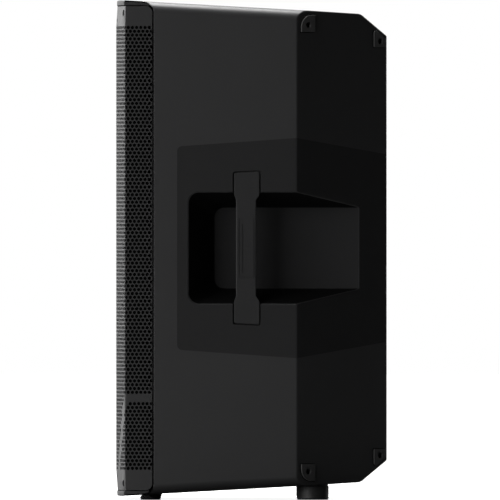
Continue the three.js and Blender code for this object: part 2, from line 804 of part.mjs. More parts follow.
function displayWindow() {
  const [x, z] = AMP.display;
  return join(
    deep(roundRect(31, 20, 3, x, z), FACE + GAP, FACE + 2),
    box(x - 27, x + 27, PANEL.back - 6, FACE + 1, z - 16, z + 16),
  );
}

/** A knob on a shaft through the panel, with a flat pointer groove. */
function knob([x, z], r, height) {
  const skirt = FACE + 1.2;
  const top = skirt + height;
  const body = turned(
    [[0, PANEL.back - 6], [3.8, PANEL.back - 6], [3.8, skirt], [r, skirt], [r - 0.8, top - 1.2],
      [r - 2, top], [0, top]],
    x,
    z,
    16,
  );
  return body.subtract(box(x - 0.7, x + 0.7, top - 0.8, top + 2, z + r * 0.35, z + r + 1));
}

function pushButton([x, z]) {
  const stem = box(x - 2.5, x + 2.5, PANEL.back - 6, PANEL.back, z - 2, z + 2);
  return join(deep(roundRect(4.5, 3.5, 1, x, z), PANEL.back - 0.5, FACE + 2.2), stem);
}

/** Socket shell behind a D-size flange. The latch slot is above the hole. */
function comboJack([x, z]) {
  const flange = deep(roundRect(13, 15.5, 2, x, z), FACE + GAP, FACE + 2.3);
  const shell = ring(0, 12, PANEL.back - 22, FACE + 1, x, z, 16);
  return cut(
    join(flange, shell),
    ring(0, 9.6, FACE - 10, FACE + 6, x, z, 16),
    ring(0, 3.4, PANEL.back - 18, FACE, x, z, 12),
    box(x - 3.6, x + 3.6, FACE - 4, FACE + 6, z + 8.5, z + 13.6),
  );
}

const comboLatch = ([x, z]) =>
  box(x - 3.2, x + 3.2, FACE - 1.6, FACE + 3.6, z + 9.9, z + 13.2);

/** Output connector with three pins in an open shell. */
function linkOutput([x, z]) {
  const flange = deep(roundRect(13, 15.5, 2, x, z), FACE + GAP, FACE + 2.3);
  const shell = ring(0, 12, PANEL.back - 16, FACE + 1, x, z, 16);
  const pins = [90, 210, 330].map((a) => {
    const t = THREE.MathUtils.degToRad(a);
    return ring(0, 1.2, PANEL.back - 13, FACE - 1, x + 5 * Math.cos(t), z + 5 * Math.sin(t), 8);
  });
  const hollow = ring(0, 9.6, PANEL.back - 12, FACE + 6, x, z, 16);
  return join(cut(join(flange, shell), hollow), ...pins);
}

/** Mains inlet: a hollow with three flat blades. */
function mainsInlet([x, z]) {
  const flange = deep(roundRect(24, 13.8, 3, x, z), FACE + GAP, FACE + 2.6);
  const shell = box(x - 14, x + 14, PANEL.back - 22, FACE + 1, z - 10.5, z + 10.5);
  const hollow = box(x - 12, x + 12, PANEL.back - 16, FACE + 6, z - 8.2, z + 8.2);
  const blades = [[-7, -2], [0, 2], [7, -2]].map(([dx, dz]) =>
    box(x + dx - 0.9, x + dx + 0.9, PANEL.back - 17, FACE - 3, z + dz - 2, z + dz + 2),
  );
  return join(join(flange, shell).subtract(hollow), ...blades);
}

const rockerFrame = ([x, z]) =>
  join(
    deep(roundRect(13, 15.8, 2, x, z), FACE + GAP, FACE + 2),
    box(x - 11, x + 11, PANEL.back - 18, FACE + 1, z - 13.5, z + 13.5),
  ).subtract(box(x - 8.4, x + 8.4, PANEL.back - 10, FACE + 6, z - 11.4, z + 11.4));

const ROCKER_PIVOT_Y = PANEL.back - 3;

/** A paddle that tips about a cross pin, resting with its lower end pressed in. */
function powerRocker([x, z]) {
  const profile = [
    [FACE - 2.6, -9.6],
    [FACE + 1.4, 0],
    [FACE + 4.6, 8.6],
    [FACE - 2.2, 10],
    [ROCKER_PIVOT_Y - 2.5, 4],
    [ROCKER_PIVOT_Y - 2.5, -4],
    [FACE - 6, -10.2],
  ];
  return across(outline(profile.map(([y, dz]) => [y, z + dz])), x - 8, x + 8);
}

const BOARD_Y = 142;

function ampBoard() {
  const board = box(-66, 66, BOARD_Y, BOARD_Y + 1.6, 380, 572);
  const parts = [
    box(-60, -42, BOARD_Y - 18, BOARD_Y + 0.5, 392, 420),
    box(-34, -4, BOARD_Y - 12, BOARD_Y + 0.5, 390, 412),
    box(10, 58, BOARD_Y - 8, BOARD_Y + 0.5, 396, 404),
    ring(0, 9, BOARD_Y - 30, BOARD_Y + 0.5, 14, 470, 12),
    ring(0, 9, BOARD_Y - 30, BOARD_Y + 0.5, -10, 470, 12),
  ];
  return join(board, ...parts);
}

function powerSupply() {
  const board = box(-66, 66, BOARD_Y, BOARD_Y + 1.6, 160, 366);
  const parts = [
    ring(12, 30, BOARD_Y - 28, BOARD_Y + 0.5, -28, 250, 20),
    ring(0, 14, BOARD_Y - 46, BOARD_Y + 0.5, 30, 220, 16),
    ring(0, 14, BOARD_Y - 46, BOARD_Y + 0.5, 30, 256, 16),
    box(4, 52, BOARD_Y - 20, BOARD_Y + 0.5, 290, 330),
    box(-58, -20, BOARD_Y - 16, BOARD_Y + 0.5, 300, 346),
  ];
  return join(board, ...parts);
}

// ---------------------------------------------------------------- wiring

/** A round lead through its own points. */
function lead(points, r) {
  const path = new THREE.CatmullRomCurve3(points.map((p) => new THREE.Vector3(...p)));
  const section = new THREE.Shape().absarc(0, 0, r, 0, Math.PI * 2);
  const g = new THREE.ExtrudeGeometry(section, { steps: 18, curveSegments: 4, extrudePath: path });
  return solid(g);
}

const LEAD_START_Y = BOARD_Y - GAP;

const wooferLead = () =>
  lead(
    [
      [52, LEAD_START_Y, 386],
      [53, 118, 386],
      [68, 60, 368],
      [82, 4, 334],
      [74, -38, 296],
      [55, -51, 279],
      [54, -60.3, 278],
    ],
    2.5,
  );

const tweeterLead = () =>
  lead(
    [
      [36, LEAD_START_Y, 510],
      [36, 124, 510],
      [42, 84, 522],
      [40, 44, 536],
      [31, 22, 541],
      [30, 10.9, 541],
    ],
    2.2,
  );

// ---------------------------------------------------------------- assembly

const material = (hex, roughness, metalness = 0) =>
  new THREE.MeshStandardMaterial({ color: hex, roughness, metalness });
const BLACK_PLASTIC = material(0x2d2d2d, 0.6);
const DARK_PLASTIC = material(0x1a1a1a, 0.7);
const BLACK_STEEL = material(0x303030, 0.45, 0.4);
const RUBBER = material(0x222222, 0.9);
const FOAM = material(0x0c0c0c, 1);
const PAPER = material(0x1c1c1c, 0.9);
const FERRITE = material(0x3a3a3c, 0.8);
const STEEL = material(0x9a9a9c, 0.35, 0.9);
const ALUMINIUM = material(0x26272a, 0.5, 0.5);
const CIRCUIT = material(0x0d3b22, 0.6);
const GLASS = material(0x0a0c10, 0.1);
const SCREW_BRASS = material(0xb08d4a, 0.4, 0.8);
const WIRE = material(0x8a1414, 0.6);

const root = new THREE.Group();

function place(name, manifold, finish) {
  const mesh = new THREE.Mesh(geometryOf(manifold), finish);
  mesh.name = name;
  root.add(mesh);
}

function addCabinet() {
  place("cabinet_shell", cabinetShell(), BLACK_PLASTIC);
  place("side_handle_right", handleBar(), RUBBER);
  place("side_handle_left", mirrored(handleBar()), RUBBER);
  place("pole_cup", poleCup(), DARK_PLASTIC);
  for (const [name, point] of Object.entries(riggingPoints)) {
    place(`rigging_insert_${name}`, atRigging(riggingInsert(), point), SCREW_BRASS);
  }
  for (const [side, x] of [["left", -FOOT.x], ["right", FOOT.x]]) {
    place(`foot_front_${side}`, foot(FOOT.front, x), RUBBER);
    place(`foot_rear_${side}`, foot(FOOT.rear, x), RUBBER);
  }
  for (const [end, drawn] of Object.entries(bumperOutlines())) {
    const upper = bumper(drawn);
    const lower = upper.translate([0, 0, -MID_Z]).mirror([0, 0, 1]).translate([0, 0, MID_Z]);
    for (const [level, s] of [["upper", upper], ["lower", lower]]) {
      place(`bumper_right_${end}_${level}`, s, RUBBER);
      place(`bumper_left_${end}_${level}`, mirrored(s), RUBBER);
    }
  }
}

function addFront() {
  place("front_baffle", frontBaffle(), BLACK_PLASTIC);
  place("baffle_gasket", baffleGasket(), FOAM);
  place("front_grille", frontGrille(), BLACK_STEEL);
  place("grille_foam", grilleFoam(), FOAM);
  place("port_tube_right", portTube(PORT.x), DARK_PLASTIC);
  place("port_tube_left", portTube(-PORT.x), DARK_PLASTIC);
}

function addWoofer() {
  place("woofer_basket", wooferBasket(), BLACK_STEEL);
  place("woofer_trim_ring", onWoofer([[139, -160], [153, -160], [153, -157.7], [139, -157.7]]), RUBBER);
  place("woofer_surround", wooferSurround(), RUBBER);
  place("woofer_cone", wooferCone(), PAPER);
  place("woofer_dust_cap", wooferDustCap(), PAPER);
  place("woofer_voice_coil", onWoofer([[31.6, -90], [33, -90], [33, -40], [31.6, -40]], 24), STEEL);
  place("woofer_spider", wooferSpider(), FOAM);
  place("woofer_top_plate", onWoofer([[34.2, -60.7], [75, -60.7], [75, -52.7], [34.2, -52.7]]), STEEL);
  place("woofer_magnet", onWoofer([[44, -52.4], [80, -52.4], [80, -32.4], [44, -32.4]]), FERRITE);
  place(
    "woofer_back_plate",
    onWoofer([[10, -56], [30.4, -56], [30.4, -32.1], [76, -32.1], [76, -24], [10, -24]]),
    STEEL,
  );
}

function addHorn() {
  place("horn_waveguide", hornWaveguide(), DARK_PLASTIC);
  place("driver_seal", ring(19, 40, THROAT_Y + 5.3, THROAT_Y + 6.8, 0, HORN_Z, 24), FOAM);
  place(
    "driver_magnet_housing",
    turned(
      [[13, -44.9], [42, -44.9], [56, -36], [56, -8], [13, -8]],
      0,
      HORN_Z,
      28,
    ),
    FERRITE,
  );
  place(
    "driver_rear_cap",
    turned([[0, -7.7], [46, -7.7], [46, 2], [38, 10], [0, 12]], 0, HORN_Z, 28),
    DARK_PLASTIC,
  );
}

function addAmplifier() {
  place("amp_panel", ampPanel(), ALUMINIUM);
  place("amp_panel_gasket", panelGasket(), FOAM);
  place("amp_heatsink", heatsink(), ALUMINIUM);
  place("amp_circuit_board", ampBoard(), CIRCUIT);
  place("power_supply_board", powerSupply(), CIRCUIT);
  place("display_window", displayWindow(), GLASS);
  place("encoder_knob", knob(AMP.encoder, 11, 9.4), DARK_PLASTIC);
  for (const n of [1, 2]) {
    place(`level_knob_${n}`, knob(AMP[`level_${n}`], 8.5, 9), DARK_PLASTIC);
    place(`push_button_${n}`, pushButton(AMP[`button_${n}`]), DARK_PLASTIC);
    place(`combo_jack_${n}`, comboJack(AMP[`combo_${n}`]), DARK_PLASTIC);
    place(`combo_latch_${n}`, comboLatch(AMP[`combo_${n}`]), STEEL);
  }
  place("link_output", linkOutput(AMP.link), DARK_PLASTIC);
  place("mains_inlet", mainsInlet(AMP.inlet), DARK_PLASTIC);
  place("rocker_frame", rockerFrame(AMP.rocker), DARK_PLASTIC);
  place("power_rocker", powerRocker(AMP.rocker), DARK_PLASTIC);
  place("woofer_lead", wooferLead(), WIRE);
  place("tweeter_lead", tweeterLead(), WIRE);
}

addCabinet();
addFront();
addWoofer();
addHorn();
addAmplifier();

export default root;
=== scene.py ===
"""The looks of a portable two-way powered loudspeaker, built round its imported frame.

Lengths are in metres, +Z is up and -Y is the front. MM turns millimetres into metres.
"""

import json
import math

import bmesh
import bpy
import numpy as np
import mathutils
from mathutils import Matrix, Vector


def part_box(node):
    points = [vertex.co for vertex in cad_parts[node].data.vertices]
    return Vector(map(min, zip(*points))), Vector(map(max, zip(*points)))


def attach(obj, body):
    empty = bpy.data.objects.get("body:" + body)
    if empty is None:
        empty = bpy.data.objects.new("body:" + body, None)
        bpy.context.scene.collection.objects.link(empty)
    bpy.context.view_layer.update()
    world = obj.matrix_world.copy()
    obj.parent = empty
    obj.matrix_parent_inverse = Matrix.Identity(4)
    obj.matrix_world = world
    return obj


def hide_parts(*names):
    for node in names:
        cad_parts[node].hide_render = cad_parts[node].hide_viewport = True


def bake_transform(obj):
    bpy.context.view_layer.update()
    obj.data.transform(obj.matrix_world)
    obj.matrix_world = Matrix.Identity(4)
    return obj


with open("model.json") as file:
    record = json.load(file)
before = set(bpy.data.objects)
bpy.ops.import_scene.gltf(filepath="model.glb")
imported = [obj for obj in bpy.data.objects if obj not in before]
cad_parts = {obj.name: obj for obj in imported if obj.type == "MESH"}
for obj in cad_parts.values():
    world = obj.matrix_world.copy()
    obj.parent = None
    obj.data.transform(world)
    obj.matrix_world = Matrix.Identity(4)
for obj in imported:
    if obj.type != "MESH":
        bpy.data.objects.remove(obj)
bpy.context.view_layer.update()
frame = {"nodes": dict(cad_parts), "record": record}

MM = 0.001
GAP = 0.3 * MM

# ------------------------------------------------------------------ sizes, read from the frame


def mount(name):
    return next(m for m in frame["record"]["mounts"] if m["name"] == name)


def centre(node):
    low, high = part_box(node)
    return (low + high) / 2


def place_of(node):
    """A node's middle seen from behind, as (x, z)."""
    low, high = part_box(node)
    return (low.x + high.x) / 2, (low.z + high.z) / 2


SHELL_LOW, SHELL_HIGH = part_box("cabinet_shell")
HANDLE_LOW, HANDLE_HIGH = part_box("side_handle_right")
HALF_WIDTH = SHELL_HIGH.x
BACK_Y = SHELL_HIGH.y
FRONT_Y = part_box("front_grille")[0].y
MID_Z = (HANDLE_LOW.z + HANDLE_HIGH.z) / 2
HANDLE_Y = (HANDLE_LOW.y + HANDLE_HIGH.y) / 2
WOOFER = centre("woofer_trim_ring")
HORN = centre("horn_waveguide")

TOP_NORMAL = Vector(mount("rigging_top_left_face")["axis"])
TAPER = TOP_NORMAL.y / TOP_NORMAL.z
RAKE_NORMAL = Vector(mount("monitor_rest_right")["axis"])
RAKE = math.atan2(RAKE_NORMAL.y, RAKE_NORMAL.x)
RAKE_POINT = Vector(mount("monitor_rest_right")["pos_m"]) - 2.9 * MM * RAKE_NORMAL
RAKE_Y = RAKE_POINT.y - (HALF_WIDTH - RAKE_POINT.x) / math.tan(RAKE)

SPLIT_Y = -133.4 * MM
SPLIT_RADIUS = 16.5 * MM
SPLIT_TOP_Y = -147 * MM  # where the split meets the top and the bottom
EDGE_RADIUS = 14 * MM
WALL = 5 * MM
CHAMFER_Y = BACK_Y - 36 * MM
CHAMFER_HALF_HEIGHT = 290 * MM


def half_height(y):
    """Half the cabinet's height at a depth."""
    return SHELL_HIGH.z - MID_Z - TAPER * (y - SHELL_LOW.y)


def half_width(y):
    """Half the cabinet's width at a depth."""
    return HALF_WIDTH - max(0, y - RAKE_Y) * math.tan(RAKE)


# ------------------------------------------------------------------ mesh tools


def link(obj):
    bpy.context.scene.collection.objects.link(obj)
    return obj


def mesh_object(name, verts, faces):
    mesh = bpy.data.meshes.new(name)
    mesh.from_pydata([tuple(v) for v in verts], [], faces)
    mesh.validate()
    return link(bpy.data.objects.new(name, mesh))


def edit(obj):
    bm = bmesh.new()
    bm.from_mesh(obj.data)
    return bm


def store(bm, obj):
    bm.to_mesh(obj.data)
    bm.free()
    obj.data.update()
    return obj


def face_outwards(obj):
    bm = edit(obj)
    bmesh.ops.recalc_face_normals(bm, faces=bm.faces)
    return store(bm, obj)


def apply_modifiers(obj):
    bpy.context.view_layer.update()
    evaluated = obj.evaluated_get(bpy.context.evaluated_depsgraph_get())
    mesh = bpy.data.meshes.new_from_object(evaluated)
    obj.modifiers.clear()
    old = obj.data
    obj.data = mesh
    bpy.data.meshes.remove(old)
    return obj


def boolean(obj, other, operation):
    """Cuts, joins or intersects obj with other, which is used up."""
    m = obj.modifiers.new("boolean", "BOOLEAN")
    m.object, m.operation, m.solver = other, operation, "EXACT"
    apply_modifiers(obj)
    bpy.data.objects.remove(other)
    return obj


def mark_inside(obj):
    """Marks the faces that obj leaves in what it cuts, so that bevel skips their edges."""
    obj.data.materials.append(None)
    obj.data.materials.append(None)
    for polygon in obj.data.polygons:
        polygon.material_index = 1


def cut(obj, *others):
    for other in others:
        boolean(obj, other, "DIFFERENCE")
    return obj


def loft(name, rings):
    """A solid through rings of points, each with the same number of them."""
    n = len(rings[0])
    faces = [tuple(range(n))[::-1], tuple(range((len(rings) - 1) * n, len(rings) * n))]
    for k in range(len(rings) - 1):
        for i in range(n):
            j = (i + 1) % n
            faces.append((k * n + i, k * n + j, (k + 1) * n + j, (k + 1) * n + i))
    return face_outwards(mesh_object(name, [p for ring in rings for p in ring], faces))


def prism(name, outline, low, high, axis="z"):
    """An outline raised along an axis. The outline is (x, y), (y, z) or (x, z)."""
    place = {
        "x": lambda a, b, h: (h, a, b),
        "y": lambda a, b, h: (a, h, b),
        "z": lambda a, b, h: (a, b, h),
    }[axis]
    return loft(name, [[place(a, b, h) for a, b in outline] for h in (low, high)])


def block(name, x0, x1, y0, y1, z0, z1):
    return prism(name, [(x0, y0), (x1, y0), (x1, y1), (x0, y1)], z0, z1)


def round_outline(half_a, half_b, r, steps=8, a=0, b=0):
    points = []
    for sa, sb, start in ((1, -1, -90), (1, 1, 0), (-1, 1, 90), (-1, -1, 180)):
        for i in range(steps + 1):
            t = math.radians(start + 90 * i / steps)
            points.append(
                (a + sa * (half_a - r) + r * math.cos(t), b + sb * (half_b - r) + r * math.sin(t))
            )
    return points


def turned(name, profile, at=(0, 0, 0), direction=(0, 1, 0), segments=64):
    """A closed (radius, height) profile turned about a line through at, along direction."""
    turn = Vector((0, 0, 1)).rotation_difference(Vector(direction)).to_matrix()
    verts, rows = [], []
    for r, h in profile:
        if r < 1e-7:
            rows.append([len(verts)] * segments)
            verts.append(turn @ Vector((0, 0, h)) + Vector(at))
            continue
        rows.append(list(range(len(verts), len(verts) + segments)))
        for i in range(segments):
            t = 2 * math.pi * i / segments
            verts.append(turn @ Vector((r * math.cos(t), r * math.sin(t), h)) + Vector(at))
    faces = []
    count = len(rows) if profile[0][0] > 1e-7 else len(rows) - 1
    for k in range(count):
        low, high = rows[k], rows[(k + 1) % len(rows)]
        for i in range(segments):
            j = (i + 1) % segments
            quad = [low[i], low[j], high[j], high[i]]
            face = [v for n, v in enumerate(quad) if v not in quad[:n]]
            if len(face) > 2:
                faces.append(tuple(face))
    return face_outwards(mesh_object(name, verts, faces))


def cylinder(name, radius, low, high, at=(0, 0, 0), direction=(0, 1, 0), segments=64):
    profile = [(0, low), (radius, low), (radius, high), (0, high)]
    return turned(name, profile, at, direction, segments)


def post(name, at, half_x, half_z, y0, y1):
    """A block along the depth axis, centred on an (x, z)."""
    x, z = at
    return block(name, x - half_x, x + half_x, y0, y1, z - half_z, z + half_z)


def mirrored(obj, name):
    """A copy of obj on the other side of the cabinet."""
    twin = link(bpy.data.objects.new(name, obj.data.copy()))
    twin.data.transform(Matrix.Scale(-1, 4, (1, 0, 0)))
    twin.data.flip_normals()
    return twin


def bevel(obj, width_of, segments=3, angle=28):
    """Rounds each edge sharper than angle to the width that width_of gives for its middle."""
    bm = edit(obj)
    bmesh.ops.remove_doubles(bm, verts=bm.verts, dist=2e-6)
    bmesh.ops.dissolve_limit(bm, angle_limit=math.radians(0.3), verts=bm.verts, edges=bm.edges)
    layer = bm.edges.layers.float.new("bevel_weight_edge")
    widths = {}
    for e in bm.edges:
        hidden = any(f.material_index for f in e.link_faces)
        if not hidden and len(e.link_faces) == 2 and e.calc_face_angle(0) > math.radians(angle):
            widths[e] = width_of((e.verts[0].co + e.verts[1].co) / 2)
    widest = max(widths.values(), default=0)
    for e, w in widths.items():
        e[layer] = w / widest
    store(bm, obj)
    if widest > 0:
        m = obj.modifiers.new("bevel", "BEVEL")
        m.width, m.segments, m.limit_method = widest, segments, "WEIGHT"
        m.use_clamp_overlap = False
        m.miter_outer = "MITER_ARC"
        apply_modifiers(obj)
    return obj


def smooth(obj, angle=32):
    obj.data.shade_smooth()
    obj.data.set_sharp_from_angle(angle=math.radians(angle))
    m = obj.modifiers.new("normals", "WEIGHTED_NORMAL")
    m.keep_sharp = True
    return apply_modifiers(obj)


def copy_of(node, name=None):
    """A new piece with a CAD node's shape, its points merged and its flat faces whole."""
    obj = link(bpy.data.objects.new(name or f"{node}_fine", frame["nodes"][node].data.copy()))
    obj.data.materials.clear()
    bm = edit(obj)
    for layer in list(bm.loops.layers.uv.values()):
        bm.loops.layers.uv.remove(layer)
    bmesh.ops.remove_doubles(bm, verts=bm.verts, dist=5e-6)
    bmesh.ops.dissolve_limit(bm, angle_limit=math.radians(0.3), verts=bm.verts, edges=bm.edges)
    store(bm, obj)
    if obj.data.has_custom_normals:
        obj.data.attributes.remove(obj.data.attributes["custom_normal"])
    return obj


def dress(obj, body, slot, finish, *nodes):
    """Gives a finished piece its material, its body and the nodes that it stands for."""
    obj.data.materials.clear()
    obj.data.materials.append(finish)
    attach(obj, body)
    if nodes:
        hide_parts(*nodes)
    return obj


# ------------------------------------------------------------------ materials


class Nodes:
    """Builds a node tree in short calls."""

    def __init__(self, name):
        self.material = bpy.data.materials.new(name)
        self.material.use_nodes = True
        self.tree = self.material.node_tree
        self.shader = self.tree.nodes["Principled BSDF"]
        self.place = self.add("ShaderNodeTexCoord").outputs["Object"]

    def add(self, kind, **settings):
        node = self.tree.nodes.new(kind)
        for key, value in settings.items():
            setattr(node, key, value)
        return node

    def wire(self, source, target):
        self.tree.links.new(source, target)

    def set(self, **sockets):
        for key, value in sockets.items():
            self.shader.inputs[key.replace("_", " ")].default_value = value

    def scaled(self, scale, turn=(0, 0, 0)):
        m = self.add("ShaderNodeMapping")
        m.inputs["Scale"].default_value = scale
        m.inputs["Rotation"].default_value = turn
        self.wire(self.place, m.inputs["Vector"])
        return m.outputs["Vector"]

    def noise(self, size, detail=3, roughness=0.5, vector=None):
        """Noise whose blobs are about size metres across."""
        n = self.add("ShaderNodeTexNoise")
        n.inputs["Scale"].default_value = 1 / size
        n.inputs["Detail"].default_value = detail
        n.inputs["Roughness"].default_value = roughness
        self.wire(vector or self.place, n.inputs["Vector"])
        return n.outputs["Fac"]

    def cells(self, size, feature="F1", vector=None):
        n = self.add("ShaderNodeTexVoronoi", feature=feature)
        n.inputs["Scale"].default_value = 1 / size
        self.wire(vector or self.place, n.inputs["Vector"])
        return n.outputs["Distance"]

    def waves(self, size, direction="Z", kind="BANDS", distortion=0, vector=None):
        n = self.add("ShaderNodeTexWave", wave_type=kind)
        if kind == "BANDS":
            n.bands_direction = direction
        else:
            n.rings_direction = direction
        n.inputs["Scale"].default_value = 0.314 / size
        n.inputs["Distortion"].default_value = distortion
        self.wire(vector or self.place, n.inputs["Vector"])
        return n.outputs["Fac"]

    def span(self, source, low, high, start=0.0, end=1.0):
        """Maps source from start..end to low..high."""
        n = self.add("ShaderNodeMapRange")
        n.inputs["From Min"].default_value = start
        n.inputs["From Max"].default_value = end
        n.inputs["To Min"].default_value = low
        n.inputs["To Max"].default_value = high
        self.wire(source, n.inputs["Value"])
        return n.outputs["Result"]

    def math(self, operation, a, b):
        n = self.add("ShaderNodeMath", operation=operation)
        for socket, value in zip(n.inputs, (a, b)):
            if isinstance(value, (int, float)):
                socket.default_value = value
            else:
                self.wire(value, socket)
        return n.outputs["Value"]

    def mix(self, fac, a, b):
        """A colour between a and b."""
        n = self.add("ShaderNodeMix", data_type="RGBA")
        self.wire(fac, n.inputs["Factor"])
        for socket, value in ((n.inputs[6], a), (n.inputs[7], b)):
            if isinstance(value, tuple):
                socket.default_value = (*value, 1)
            else:
                self.wire(value, socket)
        return n.outputs[2]

    def colour(self, source):
        self.wire(source, self.shader.inputs["Base Color"])

    def rough(self, source):
        self.wire(source, self.shader.inputs["Roughness"])

    def bump(self, *layers):
        """Layers of (height source, depth in metres)."""
        normal = None
        for source, depth in layers:
            n = self.add("ShaderNodeBump")
            n.inputs["Strength"].default_value = 1
            n.inputs["Distance"].default_value = depth
            self.wire(source, n.inputs["Height"])
            if normal:
                self.wire(normal, n.inputs["Normal"])
            normal = n.outputs["Normal"]
        self.wire(normal, self.shader.inputs["Normal"])


def tint(colour, factor):
    return tuple(min(1, c * factor) for c in colour)


def moulded_plastic(name, colour, roughness, grain=0.7 * MM, depth=0.03 * MM, shine=0.45):
    """Fine spark-eroded moulding texture, with faint scuffs and handling marks."""
    n = Nodes(name)
    broad = n.noise(90 * MM, 4)
    speck = n.noise(1.6 * MM, 2)
    shade = n.mix(broad, tint(colour, 0.86), tint(colour, 1.16))
    speckled = n.mix(n.span(speck, 0, 1, 0.35, 0.75), shade, tint(colour, 1.22))
    scuff = n.noise(26 * MM, 6, 0.7, n.scaled((1, 0.25, 1)))
    worn = n.span(scuff, 0, 1, 0.62, 0.8)
    n.colour(n.mix(n.math("MULTIPLY", worn, 0.35), speckled, tint(colour, 1.6)))
    uneven = n.span(n.noise(34 * MM, 5), -0.05, 0.05)
    n.rough(n.math("ADD", uneven, n.span(speck, roughness - 0.05, roughness + 0.05)))
    n.bump((n.noise(grain, 3, 0.6), depth), (n.noise(0.28 * MM, 1), depth * 0.35))
    n.set(Specular_IOR_Level=shine)
    return n.material


def rubber(name, colour, roughness=0.72):
    """Matt rubber with a fine dusty bloom."""
    n = Nodes(name)
    bloom = n.noise(18 * MM, 6, 0.7)
    dust = n.noise(1.1 * MM, 3)
    shade = n.mix(bloom, tint(colour, 0.8), tint(colour, 1.25))
    n.colour(n.mix(n.span(dust, 0, 0.5, 0.5, 0.8), shade, tint(colour, 2.2)))
    n.rough(n.span(bloom, roughness - 0.08, roughness + 0.1))
    n.bump((n.noise(0.5 * MM, 3, 0.6), 0.035 * MM))
    n.set(Specular_IOR_Level=0.35)
    return n.material


def powder_coat(name, colour, roughness=0.42):
    """Baked powder coat: a hard semi-gloss skin with orange peel."""
    n = Nodes(name)
    tone = n.noise(60 * MM, 3)
    peel = n.noise(0.9 * MM, 2, 0.5)
    n.colour(n.mix(tone, tint(colour, 0.9), tint(colour, 1.12)))
    n.rough(n.span(peel, roughness - 0.05, roughness + 0.07))
    n.bump((peel, 0.02 * MM), (n.noise(4 * MM, 2), 0.03 * MM))
    n.set(Specular_IOR_Level=0.6)
    return n.material


def foam(name, colour):
    """Open-cell foam."""
    n = Nodes(name)
    cells = n.cells(0.9 * MM)
    n.colour(n.mix(cells, tint(colour, 0.4), tint(colour, 1.6)))
    n.rough(n.span(cells, 0.95, 1.0))
    n.bump((cells, 0.3 * MM), (n.noise(0.4 * MM, 2), 0.1 * MM))
    n.set(Specular_IOR_Level=0.1)
    return n.material


def pressed_paper(name, colour):
    """Felted pulp with short fibres."""
    n = Nodes(name)
    fibres = n.noise(2.2 * MM, 5, 0.75, n.scaled((1, 1, 3.2)))
    cross = n.noise(2.2 * MM, 5, 0.75, n.scaled((3.2, 1, 1)))
    mixed = n.math("MAXIMUM", fibres, cross)
    n.colour(n.mix(mixed, tint(colour, 0.6), tint(colour, 1.7)))
    n.rough(n.span(mixed, 0.7, 0.9))
    n.bump((mixed, 0.12 * MM))
    return n.material


def metal(name, colour, roughness, turned_about=None, scratch=0.02 * MM):
    """Machined or plated metal, with fine tool marks along one direction."""
    n = Nodes(name)
    stretch = {"X": (0.03, 1, 1), "Y": (1, 0.03, 1), "Z": (1, 1, 0.03)}
    vector = n.scaled(stretch[turned_about or "X"])
    marks = n.noise(0.5 * MM, 4, 0.6, vector)
    stain = n.noise(22 * MM, 5)
    n.colour(n.mix(stain, tint(colour, 0.82), tint(colour, 1.08)))
    n.rough(n.math("ADD", n.span(marks, -0.07, 0.09), n.span(stain, roughness - 0.03, roughness + 0.05)))
    n.bump((marks, scratch))
    n.set(Metallic=1.0)
    return n.material


def anodised(name, colour, roughness=0.38):
    n = Nodes(name)
    grain = n.noise(0.45 * MM, 3)
    tone = n.noise(50 * MM, 3)
    n.colour(n.mix(tone, tint(colour, 0.9), tint(colour, 1.12)))
    n.rough(n.span(grain, roughness - 0.05, roughness + 0.08))
    n.bump((grain, 0.012 * MM))
    n.set(Metallic=0.75)
    return n.material


def ferrite(name, colour):
    n = Nodes(name)
    grain = n.noise(0.8 * MM, 4, 0.7)
    chips = n.cells(6 * MM)
    n.colour(n.mix(grain, tint(colour, 0.7), tint(colour, 1.5)))
    n.rough(n.span(chips, 0.55, 0.85))
    n.bump((grain, 0.05 * MM), (chips, 0.08 * MM))
    return n.material


def circuit_board(name, colour):
    """Solder resist over copper tracks, with tinned pads."""
    n = Nodes(name)
    brick = n.add("ShaderNodeTexBrick")
    brick.inputs["Scale"].default_value = 1
    brick.inputs["Brick Width"].default_value = 11 * MM
    brick.inputs["Row Height"].default_value = 2.6 * MM
    brick.inputs["Mortar Size"].default_value = 0.35 * MM
    for key, value in (("Color1", (0, 0, 0, 1)), ("Color2", (0.3, 0.3, 0.3, 1)), ("Mortar", (1, 1, 1, 1))):
        brick.inputs[key].default_value = value
    n.wire(n.scaled((1, 1, 1), (math.pi / 2, 0, 0)), brick.inputs["Vector"])
    pads = n.span(n.cells(4.2 * MM), 1, 0, 0.1, 0.14)
    board = n.mix(brick.outputs["Color"], colour, tint(colour, 2.3))
    n.colour(n.mix(pads, board, (0.55, 0.56, 0.5)))
    n.rough(n.span(n.noise(5 * MM), 0.3, 0.5))
    n.bump((brick.outputs["Color"], 0.04 * MM), (pads, 0.1 * MM))
    return n.material


def woven_cloth(name, colour, pitch=0.9 * MM):
    n = Nodes(name)
    warp = n.waves(pitch, "X")
    weft = n.waves(pitch, "Z")
    weave = n.math("MULTIPLY", warp, weft)
    n.colour(n.mix(weave, tint(colour, 0.45), tint(colour, 1.2)))
    n.rough(n.span(n.noise(8 * MM), 0.6, 0.85))
    n.bump((weave, 0.12 * MM))
    return n.material


def winding(name, colour):
    """Enamelled wire laid side by side."""
    n = Nodes(name)
    turns = n.waves(0.35 * MM, "Y")
    n.colour(n.mix(turns, tint(colour, 0.35), colour))
    n.rough(n.span(n.noise(2 * MM), 0.25, 0.4))
    n.bump((turns, 0.08 * MM))
    n.set(Metallic=0.9)
    return n.material


